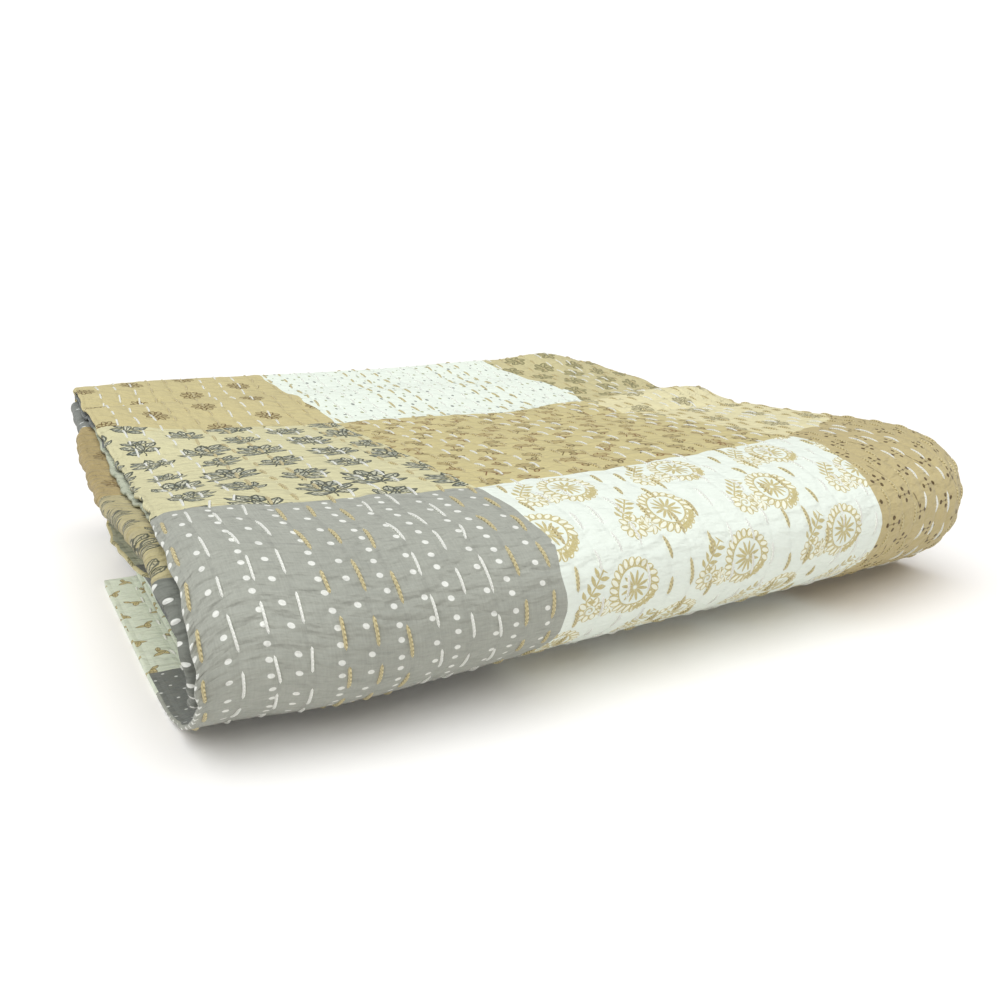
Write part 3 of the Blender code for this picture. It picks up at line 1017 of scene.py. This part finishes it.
def medallions_on_white(tree, u, v, ink, ground):
    x, y, _, _ = block_repeat(
        u, v, across=83.0, along=38.5, start_across=91.0, start_along=269.0, unevenness=0.8,
        slant=-0.06,
    )
    x = x - 9.0
    angle = y.do("ARCTAN2", x)
    flower, _ = printed_petals(x, y, count=12.0, inner=1.0, outer=9.4, width=1.05)
    ring = printed_ring(x, y, radius=11.3, line=0.5)
    tips = (angle + 1.7).cos() * 0.9 + 17.2
    leaf, inside = printed_petals(x, y, count=21.0, inner=11.4, outer=tips, width=2.25, swirl=0.004)
    leaf_line = (0.56 - abs(inside - 0.35)).within()
    low_right = (angle + 0.9).cos() * 9.0 - 7.6
    crescent = (16.6 - away(x, y)).and_(away(x, y) - 13.2, low_right).within()
    curl_x, curl_y = x + 29.0, y + 7.5
    curl, curl_inside = printed_petals(curl_x, curl_y, count=9.0, inner=3.4, outer=8.8, width=2.3)
    curl_line = (0.52 - abs(curl_inside - 0.35)).within()
    spiral_turn = away(curl_x, curl_y) / 2.8 - curl_y.do("ARCTAN2", curl_x) / (2 * math.pi)
    spiral = (0.17 - abs(spiral_turn % 1.0 - 0.5)).within().and_((3.6 - away(curl_x, curl_y)).within())
    tilt = tree.nodes.new("ShaderNodeValue")
    tilt.outputs[0].default_value = math.radians(48)
    stem_x, stem_y = turned(x + 25.5, y - 6.5, Field(tree, tilt.outputs[0]))
    spray = (9.5 - abs(stem_x)).within()
    leaf_fill, _ = printed_leaf(
        (stem_x + 40.0) % 4.8 - 2.4, abs(stem_y), centre_across=0.2, centre_along=2.8, half_length=3.3,
        half_width=1.25, turn=52.0, line=0.4, vein=0.0,
    )
    stem = (0.5 - abs(stem_y)).within()
    spray_ink = leaf_fill.or_(stem).and_(spray)
    link_x, link_y = x + 18.0, y + 8.5
    link, link_inside = printed_petals(
        link_x, link_y, count=7.0, inner=1.0, outer=6.8, width=2.1, swirl=0.03
    )
    link_line = (0.5 - abs(link_inside - 0.3)).within()
    outside = (away(x, y) - tips).within()
    tail = curl_line.or_(spiral, spray_ink, link_line).and_(outside)
    gold = flower.or_(ring, leaf_line, crescent, tail)
    pale = leaf.or_(curl.and_(outside), link.and_(outside))
    tinted = mixed(tree, pale * 0.35, ground, (248, 240, 206))
    return mixed(tree, gold * ink * 0.94, tinted, (190, 176, 118))


def clusters_on_tan(tree, u, v, ink, ground):
    x, y, _, _ = block_repeat(u, v, across=35.0, along=15.5, start_across=3.0, unevenness=0.5)
    middle = printed_dot(x, y, radius=0.9)
    sides = printed_dot(abs(x), y, centre_across=6.4, radius=1.55)
    ends = printed_dot(x, abs(y), centre_along=3.9, radius=1.45)
    arms = (0.35 - abs(y)).and_(6.0 - abs(x)).within() * 0.5
    x, y, _, _ = block_repeat(u, v, across=53.0, along=31.0, start_across=23.0, unevenness=2.0)
    stroke, _ = printed_petals(x + y * 0.4, y, count=2.0, inner=0.1, outer=6.5, width=0.9)
    return mixed(tree, middle.or_(sides, ends, arms, stroke * 0.7) * ink, ground, (84, 64, 28))


# Half of a sprig: each leaf's centre across and along, half its length and width, and its turn in degrees.
LEAVES = (
    (0.0, 12.5, 7.0, 3.4, 90.0),
    (0.0, -3.0, 8.0, 3.2, 90.0),
    (6.4, 8.5, 7.4, 3.3, 62.0),
    (10.0, -0.5, 7.6, 3.3, 44.0),
    (7.8, -10.5, 7.0, 3.0, 14.0),
)


def leaves_on_cream(tree, u, v, ink, ground, filling=1.0):
    x, y, row, column = block_repeat(
        v, u, across=45.0, along=37.0, start_across=13.0, start_along=6.0, unevenness=3.0
    )
    x, y = y, x
    bend = (row * 2.3 + column * 1.1).sin()
    grown = (row * 4.1 + column * 2.7).sin() * 0.18 + 1.06
    x, y = turned(x * grown, y * grown, bend * 0.6)
    ragged = (y * 1.3 + x * 0.4).sin() * 0.6 + (x * 2.1).sin() * 0.4
    x = x + (y * y) * bend * 0.008 + ragged * 0.45
    y = y * (1.0 + bend * 0.08) + ragged * 0.35
    dark, filled = None, None
    for across, along, half_length, half_width, turn in LEAVES:
        fill, line = printed_leaf(
            abs(x), y, centre_across=across, centre_along=along, half_length=half_length,
            half_width=half_width, turn=turn, line=0.80, vein=0.2,
        )
        dark = dark.or_(line) if dark else line
        filled = filled.or_(fill) if filled else fill
    stem = (0.6 - abs(x)).and_(19.0 - abs(y)).within()
    wash = noise(tree, u, v, 5.0, 5.0)
    branch_x, branch_y, _, _ = block_repeat(
        u, v, across=92.0, along=61.0, stagger=0.4, start_across=20.0, unevenness=3.0
    )
    branch_y = branch_y - (branch_x * 0.2).sin() * 1.2
    branch = (0.38 - abs(branch_y)).and_(13.0 - abs(branch_x)).within() * 0.7
    washed = filled * filling * (wash * 2.7 - 0.95).do("ADD", 0.0, clamp=True)
    branched = mixed(tree, branch, ground, (172, 144, 88))
    halo = mixed(tree, filled * (0.75 * filling), branched, (232, 230, 204))
    tinted = mixed(tree, washed, halo, (122, 132, 126))
    return mixed(tree, dark.or_(stem) * ink, tinted, (66, 72, 61))


# The leaves smaller and less filled, for a cream ground darkened as painted shade where the fold lies in
# shadow.
def small_leaves_on_shaded_cream(tree, u, v, ink, ground):
    return leaves_on_cream(tree, u * 1.4 + 0.0175, v * 1.7, ink * 0.9, ground, filling=0.2)


def blossoms_on_tan(tree, u, v, ink, ground):
    x, y, row, column = block_repeat(
        u, v, across=29.0, along=27.0, stagger=0.4, start_across=12.0, unevenness=2.2
    )
    x, y = turned(x, y, (row * 2.1 + column * 1.7).sin() * 0.7)
    bloom, inside = printed_petals(x, y * 1.2, count=6.0, inner=0.1, outer=7.4, width=2.6, swirl=0.03)
    line = (0.5 - abs(inside - 0.3)).within()
    stem = (0.42 - abs(x + 0.8)).and_(5.0 - abs(y + 8.0)).within()
    x2, y2, row2, column2 = block_repeat(
        u, v, across=29.0, along=27.0, stagger=0.4, start_across=26.0, start_along=13.0, unevenness=2.5
    )
    x2, y2 = turned(x2, y2, (row2 * 1.3 + column2 * 2.9).sin() * 0.9)
    small, small_inside = printed_petals(x2, y2 * 0.7, count=3.0, inner=0.1, outer=5.0, width=1.7)
    small_line = (0.5 - abs(small_inside - 0.2)).within()
    reddish = (row * 3.7 + column * 1.9).sin().within()
    dark = mixed(tree, reddish, (100, 84, 44), (122, 84, 42))
    tinted = mixed(tree, (bloom * 0.42).or_(small * 0.4), ground, (134, 108, 60))
    return mixed(tree, line.or_(stem, small_line) * ink, tinted, dark)


def flowers_on_pale_tan(tree, u, v, ink, ground):
    x, y, _, _ = block_repeat(u, v, across=58.0, along=46.0, start_across=18.0, unevenness=1.6)
    _, inside = printed_petals(x, y, count=8.0, inner=2.6, outer=12.5, width=3.3, swirl=0.01)
    line = (0.6 - abs(inside - 0.4)).within()
    heart = printed_ring(x, y, radius=2.0, line=0.6)
    inner_line = (0.45 - abs(inside - 2.0)).within()
    small_x, small_y, _, _ = block_repeat(u, v, across=29.0, along=23.0, start_across=4.0, unevenness=2.5)
    bud, _ = printed_petals(small_x, small_y, count=3.0, inner=0.1, outer=3.6, width=1.0)
    return mixed(tree, line.or_(heart, inner_line, bud * 0.5) * ink, ground, (116, 108, 72))


def sparse_flowers_on_tan(tree, u, v, ink, ground):
    x, y, _, _ = block_repeat(u, v, across=90.0, along=26.0, start_across=6.0, unevenness=1.5)
    outer, inside = printed_petals(x, y, count=9.0, inner=4.0, outer=10.4, width=2.4)
    line = (0.62 - abs(inside - 0.5)).within()
    dots, _ = printed_petals(x, y, count=6.0, inner=0.8, outer=4.2, width=1.1)
    return mixed(tree, line.or_(dots, outer * 0.25) * ink, ground, (106, 84, 44))


# The sparse flowers again, for a tan ground darkened as painted shade where the fold lies in shadow.
def flowers_on_shaded_tan(tree, u, v, ink, ground):
    printed = sparse_flowers_on_tan(tree, u - 0.030, v * 0.8, ink, ground)
    return mixed(tree, ink * 0.8, ground, printed)


def specks_on_white(tree, u, v, ink, ground):
    x, y, row, column = block_repeat(u, v, across=12.0, along=11.0, unevenness=2.4)
    size = (row * 3.1 + column * 5.3).sin() * 0.45 + 1.0
    speck = printed_dot(x, y * 0.6, radius=size)
    grey = (row * 1.7 + column * 2.3).sin().within()
    tone = mixed(tree, grey, (150, 152, 104), (112, 116, 112))
    return mixed(tree, speck * 0.85, ground, tone)


def green_flowers_on_tan(tree, u, v, ink, ground):
    x, y, _, _ = block_repeat(u, v, across=44.0, along=30.0, start_across=10.0, unevenness=1.5)
    bloom, inside = printed_petals(x, y, count=6.0, inner=0.6, outer=13.5, width=4.6, swirl=0.008)
    line = (0.7 - abs(inside - 0.5)).within()
    inner_line = (0.5 - abs(inside - 2.4)).within()
    tinted = mixed(tree, bloom * 0.6, ground, (166, 158, 110))
    return mixed(tree, line.or_(inner_line) * ink, tinted, (112, 108, 72))


def spots_on_mint(tree, u, v, ink, ground):
    x, y, row, column = block_repeat(u, v, across=13.0, along=9.0, unevenness=2.0)
    spot, _ = printed_petals(x, y, count=4.0, inner=0.1, outer=3.6, width=1.5)
    kept = ((row * 2.7 + column * 4.9).sin() + 0.5).within()
    return mixed(tree, spot * kept * 0.75, ground, (134, 144, 122))


def birds_on_white(tree, u, v, ink, ground):
    x, y, row, column = block_repeat(u, v, across=21.0, along=25.0, start_across=3.0, unevenness=1.4)
    x, y = turned(x * 0.8, y * 0.8, (row * 2.1 + column * 1.3).sin() * 0.8 + 0.6)
    body, body_ink = printed_leaf(x, y, half_length=4.6, half_width=1.6, turn=20.0, line=0.22, vein=0.0)
    wing, wing_ink = printed_leaf(
        x, y, centre_across=-0.4, centre_along=2.4, half_length=3.8, half_width=1.5, turn=108.0,
        line=0.22, vein=0.0,
    )
    tail, tail_ink = printed_leaf(
        x, y, centre_across=-3.9, centre_along=-2.6, half_length=2.6, half_width=1.1, turn=60.0,
        line=0.22, vein=0.0,
    )
    tinted = mixed(tree, body.or_(wing, tail) * 0.8, ground, (208, 188, 122))
    return mixed(tree, body_ink.or_(wing_ink, tail_ink) * ink * 0.9, tinted, (118, 100, 56))


def dots_on_dark_grey(tree, u, v, ink, ground):
    x, y, _, _ = block_repeat(u, v, across=11.0, along=9.0, start_across=7.0, unevenness=0.8)
    dots = printed_dot(x, y, radius=0.9)
    return mixed(tree, dots, ground, (226, 228, 224))


fabrics = {
    "g": cotton("grey cotton with dots", (162, 164, 154), dots_on_grey, slub=0.22, wrinkle=0.0012),
    "w": cotton(
        "white cotton with gold medallions", (229, 236, 226),
        medallions_on_white, slub=0.04, wrinkle=0.0008,
    ),
    "c": cotton("tan cotton with dot clusters", (190, 175, 128), clusters_on_tan, slub=0.10),
    "l": cotton("cream cotton with slate leaves", (210, 205, 164), leaves_on_cream, slub=0.10),
    "b": cotton("tan cotton with small blossoms", (202, 190, 138), blossoms_on_tan, slub=0.12),
    "p": cotton(
        "pale tan cotton with outlined flowers", (223, 215, 172),
        flowers_on_pale_tan, slub=0.10,
    ),
    "s": cotton("tan cotton with sparse flowers", (199, 187, 138), sparse_flowers_on_tan, slub=0.14),
    "k": cotton(
        "white cotton with specks", (230, 238, 226),
        specks_on_white, slub=0.04, wrinkle=0.0008,
    ),
    "d": cotton("tan cotton with green flowers", (200, 191, 145), green_flowers_on_tan, slub=0.12),
    "m": cotton("mint cotton with spots", (182, 187, 166), spots_on_mint, slub=0.16, wrinkle=0.0018),
    "v": cotton("white cotton with small birds", (226, 233, 214), birds_on_white, slub=0.06),
    "q": cotton("dark grey cotton with fine dots", (123, 126, 121), dots_on_dark_grey),
    "h": cotton("plain grey cotton", (122, 126, 124), slub=0.30, wrinkle=0.0020),
    # a, o and e: grounds darkened as painted shade for the fold at the left end, which lies in shadow.
    "a": cotton(
        "grey cotton with dots in painted shade", (120, 123, 115),
        dots_on_shaded_grey, slub=0.22, wrinkle=0.0014,
    ),
    # Darker tan ground: painted shade for the shaded fold.
    "o": cotton(
        "tan cotton with sparse flowers in painted shade", (168, 150, 104),
        flowers_on_shaded_tan, slub=0.24, wrinkle=0.0024,
    ),
    # Darker cream ground: painted shade for the shaded fold.
    "e": cotton(
        "cream cotton with small leaves in painted shade", (182, 172, 130),
        small_leaves_on_shaded_cream, slub=0.20, wrinkle=0.0024,
    ),
}
for letter in FABRICS:
    quilt_mesh.materials.append(fabrics[letter])

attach(quilt, "root")
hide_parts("quilt")


# ---- The thread ----
# Rows of running stitches in cotton thread, three white rows and three gold rows by turns, sewn by hand
# through both faces of the quilt. The long stitches lie on the front and the short ones on the reverse.
# One gold row runs along the hem of the first patches. No row runs along the fold at the left end.

LONG_STITCH = 0.0148
SHORT_STITCH = 0.0088
SHORTEST_STITCH = 0.004
STITCH_GAP = 0.0004
STITCH_UNEVENNESS = 0.0018
ROW_UNEVENNESS = 0.0007
MOST_INWARDS = 0.0006
STITCH_SLANT = 0.0010
ROWS_OF_A_COLOUR = 3
ROW_START = 0.004
ROW_STOPS_SHORT = 0.006
ROW_SAMPLES = 1400
HEM_ROW_END = 0.46
BARE_FOLD = (left_fold_start - FOLD_REACH, third_start + FOLD_REACH)
# How high a stitch's middle line lies over the cloth at points along it, in radii of the thread.
STITCH_LIFTS = np.array((-1.0, -0.1, 0.3, 0.4, 0.3, -0.1, -1.0))

cloth_tree = BVHTree.FromPolygons(points.tolist(), all_quads.tolist())


def cells_at(u, v):
    """The cells of the mesh in which points of the cloth lie, and where in them."""
    # Three steps find which lines stray to the place.
    cloth_u, cloth_v = u, v
    for _ in range(3):
        there_u, there_v = strayed(u, v)
        u, v = u + cloth_u - there_u, v + cloth_v - there_v
    row = np.clip(np.searchsorted(lines_v, v, side="right") - 1, 0, len(lines_v) - 2)
    column = np.clip(np.searchsorted(lines_u, u, side="right") - 1, 0, len(lines_u) - 2)
    down = ((v - lines_v[row]) / (lines_v[row + 1] - lines_v[row]))[..., None]
    along = ((u - lines_u[column]) / (lines_u[column + 1] - lines_u[column]))[..., None]
    return row, column, down, along


def within(face, cells):
    """What a face of the cloth has at such places: world points, or normals."""
    row, column, down, along = cells
    near = face[row, column] * (1 - along) + face[row, column + 1] * along
    far = face[row + 1, column] * (1 - along) + face[row + 1, column + 1] * along
    return near * (1 - down) + far * down


# Ways out from a stitch: how far each leans from straight out, and its turn, in radians. A way is open when
# no cloth lies over it within this reach.
WAYS_OUT = ((0.0, 0.0), (0.9, 0.0), (0.9, 1.57), (0.9, 3.14), (0.9, 4.71), (1.35, 0.8), (1.35, 3.9))
COVERED_WITHIN = 0.06
STARTS_OVER_CLOTH = 0.001


def is_open(place, normal):
    """Whether a stitch can be seen from anywhere outside the folded cloth."""
    start = Vector(place) + Vector(normal) * STARTS_OVER_CLOTH
    outwards = Vector(normal).to_track_quat("Z", "Y")
    for lean, turn in WAYS_OUT:
        spread = math.sin(lean)
        way = outwards @ Vector((spread * math.cos(turn), spread * math.sin(turn), math.cos(lean)))
        if start.z + way.z * COVERED_WITHIN < 0:
            continue
        if cloth_tree.ray_cast(start, way, COVERED_WITHIN)[0] is None:
            return True
    return False


def lay_stitches():
    """Every stitch that shows, as paths of points on the cloth: gold ones and white ones."""
    draw = np.random.default_rng(5)
    gold, white = [], []
    row_count = int((QUILT_WIDTH - FIRST_THREAD) / THREAD_SPACING) + 1
    share = np.linspace(0.0, 1.0, len(STITCH_LIFTS))
    for row in range(row_count):
        row_u = FIRST_THREAD + THREAD_SPACING * row
        if BARE_FOLD[0] < row_u < BARE_FOLD[1]:
            continue
        is_gold = row == 0 or (row - 1) // ROWS_OF_A_COLOUR % 2 == 1
        row_v = np.linspace(0.0, lines_v[-1], ROW_SAMPLES)
        sewn_over = within(middle_surface, cells_at(np.full(row_v.shape, row_u), row_v))
        row_run = np.concatenate(([0.0], np.cumsum(np.linalg.norm(np.diff(sewn_over, axis=0), axis=1))))
        run = ROW_START + draw.uniform(0, LONG_STITCH)
        on_front = bool(draw.integers(2))
        stitches_u, stitches_v, sides = [], [], []
        row_end_v = HEM_ROW_END if row == 0 else lines_v[-1] - ROW_STOPS_SHORT
        row_end = np.interp(row_end_v, row_v, row_run)
        while run < row_end - LONG_STITCH:
            length = (LONG_STITCH if on_front else SHORT_STITCH) + draw.normal(0, STITCH_UNEVENNESS)
            length = max(length, SHORTEST_STITCH)
            shift, slant = draw.normal(0, ROW_UNEVENNESS), draw.normal(0, STITCH_SLANT)
            if on_front or row > 0:
                stitches_u.append(row_u + max(shift, -MOST_INWARDS) + slant * (share - 0.5))
                stitches_v.append(np.interp(run + length * share, row_run, row_v))
                sides.append(1.0 if on_front else -1.0)
            run += length + STITCH_GAP
            on_front = not on_front
        cells = cells_at(np.array(stitches_u), np.array(stitches_v))
        sides = np.array(sides)[:, None, None]
        paths = np.where(sides > 0, within(front_face, cells), within(back_face, cells))
        outs = within(normals, cells) * sides
        outs /= np.linalg.norm(outs, axis=-1, keepdims=True)
        middle = len(STITCH_LIFTS) // 2
        for path, out in zip(paths, outs):
            if is_open(path[middle], out[middle]):
                (gold if is_gold else white).append((path, out))
    return gold, white


THREAD_SIDES = 6


def make_sweep():
    """A round thread swept along paths. It keeps how far along and around each of its points lies."""
    tree = bpy.data.node_groups.new("sewn thread", "GeometryNodeTree")
    tree.interface.new_socket("Paths", in_out="INPUT", socket_type="NodeSocketGeometry")
    radius = tree.interface.new_socket("Thread radius", in_out="INPUT", socket_type="NodeSocketFloat")
    radius.default_value = 0.0008
    tree.interface.new_socket("Thread", in_out="INPUT", socket_type="NodeSocketMaterial")
    tree.interface.new_socket("Sewn", in_out="OUTPUT", socket_type="NodeSocketGeometry")

    def node(kind, **settings):
        made = tree.nodes.new(kind)
        for key, value in settings.items():
            setattr(made, key, value)
        return made

    start, end = node("NodeGroupInput"), node("NodeGroupOutput")
    link = tree.links.new
    curve = node("GeometryNodeMeshToCurve")
    link(start.outputs["Paths"], curve.inputs["Mesh"])
    out = node("GeometryNodeInputNamedAttribute", data_type="FLOAT_VECTOR")
    out.inputs["Name"].default_value = "out"
    facing = node("GeometryNodeSetCurveNormal", mode="FREE")
    link(curve.outputs[0], facing.inputs["Curve"])
    link(out.outputs["Attribute"], facing.inputs["Normal"])
    place = node("GeometryNodeSplineParameter")
    along = node("GeometryNodeStoreNamedAttribute", data_type="FLOAT", domain="POINT")
    along.inputs["Name"].default_value = "along"
    link(facing.outputs[0], along.inputs["Geometry"])
    link(place.outputs["Length"], along.inputs["Value"])
    circle = node("GeometryNodeCurvePrimitiveCircle")
    circle.inputs["Resolution"].default_value = THREAD_SIDES
    link(start.outputs["Thread radius"], circle.inputs["Radius"])
    turn = node("GeometryNodeSplineParameter")
    around = node("GeometryNodeStoreNamedAttribute", data_type="FLOAT", domain="POINT")
    around.inputs["Name"].default_value = "around"
    link(circle.outputs[0], around.inputs["Geometry"])
    link(turn.outputs["Factor"], around.inputs["Value"])
    tube = node("GeometryNodeCurveToMesh")
    tube.inputs["Fill Caps"].default_value = True
    link(along.outputs[0], tube.inputs["Curve"])
    link(around.outputs[0], tube.inputs["Profile Curve"])
    whole = node("GeometryNodeRealizeInstances")
    link(tube.outputs[0], whole.inputs[0])
    coloured = node("GeometryNodeSetMaterial")
    link(whole.outputs[0], coloured.inputs["Geometry"])
    link(start.outputs["Thread"], coloured.inputs["Material"])
    link(coloured.outputs[0], end.inputs["Sewn"])
    return tree


sweep_tree = make_sweep()


def thread_piece(name, stitches, radius, material):
    """One piece of all the stitches in one thread, swept along their paths."""
    paths, outs = (np.array(values) for values in zip(*stitches))
    paths = paths + outs * STITCH_LIFTS[None, :, None] * radius
    numbers = np.arange(paths.shape[0] * paths.shape[1]).reshape(paths.shape[:2])
    edges = np.stack((numbers[:, :-1].ravel(), numbers[:, 1:].ravel()), axis=1)
    mesh = bpy.data.meshes.new(name)
    mesh.from_pydata(paths.reshape(-1, 3).tolist(), edges.tolist(), [])
    mesh.attributes.new("out", "FLOAT_VECTOR", "POINT").data.foreach_set("vector", outs.ravel())
    piece = placed(name, mesh)
    sweep = piece.modifiers.new("sweep", "NODES")
    sweep.node_group = sweep_tree
    for item in sweep_tree.interface.items_tree:
        if item.name == "Thread radius":
            sweep[item.identifier] = radius
        if item.name == "Thread":
            sweep[item.identifier] = material
    swept = bpy.data.meshes.new_from_object(piece.evaluated_get(bpy.context.evaluated_depsgraph_get()))
    swept.name = name
    piece.modifiers.clear()
    piece.data = swept
    swept.shade_smooth()
    return piece


TWISTED_COTTON = {"Roughness": 0.62, "Sheen Weight": 0.2}
PLY_DEPTH = 0.00022


def thread_cotton(name, light, dark, turns_a_metre):
    """Twisted cotton thread: its two plies cross it at a slant, with painted shade in the groove between
    them.
    """
    material, tree, shader = new_material(name, TWISTED_COTTON)
    fields = []
    for label in ("along", "around"):
        read = tree.nodes.new("ShaderNodeAttribute")
        read.attribute_name = label
        fields.append(Field(tree, read.outputs["Fac"]))
    ply = ((fields[0] * turns_a_metre + fields[1] * 2.0) * (2 * math.pi)).cos()
    groove = (ply * 0.5 + 0.5).do("POWER", 0.6)
    # The dark colour is painted shade in the groove between the plies.
    tree.links.new(mixed(tree, groove, dark, light), shader.inputs["Base Color"])
    raised(tree, shader, groove * PLY_DEPTH)
    return material


GOLD_RADIUS, WHITE_RADIUS = 0.00096, 0.00079
gold_stitches, white_stitches = lay_stitches()
# Each thread's second colour is its painted shade between the plies.
gold_cotton = thread_cotton("gold thread", (228, 215, 166), (156, 140, 94), turns_a_metre=420.0)
white_cotton = thread_cotton("white thread", (255, 255, 248), (234, 237, 226), turns_a_metre=520.0)
gold_thread = thread_piece("gold_stitches", gold_stitches, GOLD_RADIUS, gold_cotton)
white_thread = thread_piece("white_stitches", white_stitches, WHITE_RADIUS, white_cotton)

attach(gold_thread, "root")
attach(white_thread, "root")


# ---- The stage ----
# A plain pale floor under soft studio light, with the camera a little above the quilt and to its left.

WHITE, ROOM_TINT = (1.0, 1.0, 1.0, 1.0), (1.0, 0.88, 0.80, 1.0)
FLOOR_REACH = 30
FLOOR_PAPER = {
    "Base Color": (0.955, 0.935, 0.915, 1.0), "Roughness": 0.9, "Emission Color": WHITE,
    "Emission Strength": 0.05,
}
ROOM_SEEN, ROOM_LIGHT = 1.1, 0.19
SOFTBOX_POWER = 3.15
SOFTBOX_TINT = (1.0, 1.03, 1.05)
SOFTBOX_SPREAD = math.radians(80)
SOFTBOX_FROM = (-0.28, -0.23, 1.0)
CAMERA_PLACE = (-0.3404, -0.5919, 0.2161)
CAMERA_LENS, CAMERA_FILM = 30.55, 36
CAMERA_DOWN, CAMERA_TURN = math.radians(13.76), math.radians(31.01)

corners = [(x * FLOOR_REACH, y * FLOOR_REACH, 0) for x, y in ((-1, -1), (1, -1), (1, 1), (-1, 1))]
floor_mesh = bpy.data.meshes.new("floor")
floor_mesh.from_pydata(corners, [], [(0, 1, 2, 3)])
floor = placed("floor", floor_mesh)
floor_mesh.materials.append(new_material("white paper", FLOOR_PAPER)[0])

# The room looks white and lights the quilt only a little, in a warmer white than it shows.
world = bpy.data.worlds.new("studio")
bpy.context.scene.world = world
world.use_nodes = True
room, link_room = world.node_tree.nodes, world.node_tree.links.new
seen = room.new("ShaderNodeLightPath")
brightness = room.new("ShaderNodeMapRange")
brightness.inputs["To Min"].default_value = ROOM_LIGHT
brightness.inputs["To Max"].default_value = ROOM_SEEN
link_room(seen.outputs["Is Camera Ray"], brightness.inputs["Value"])
link_room(brightness.outputs[0], room["Background"].inputs["Strength"])
warmth = room.new("ShaderNodeMix")
warmth.data_type = "RGBA"
warmth.inputs[6].default_value = ROOM_TINT
warmth.inputs[7].default_value = WHITE
link_room(seen.outputs["Is Camera Ray"], warmth.inputs["Factor"])
link_room(warmth.outputs[2], room["Background"].inputs["Color"])
bpy.context.scene.view_settings.view_transform = "Standard"

lamp = bpy.data.lights.new("overhead softbox", "SUN")
lamp.energy = SOFTBOX_POWER
lamp.color = SOFTBOX_TINT
lamp.angle = SOFTBOX_SPREAD
softbox = placed("overhead softbox", lamp)
softbox.rotation_euler = Vector(SOFTBOX_FROM).to_track_quat("Z", "Y").to_euler()

camera = placed("camera", bpy.data.cameras.new("camera"))
camera.data.sensor_width = CAMERA_FILM
camera.data.lens = CAMERA_LENS
camera.location = CAMERA_PLACE
camera.rotation_euler = (math.pi / 2 - CAMERA_DOWN, 0, -CAMERA_TURN)
bpy.context.scene.camera = camera
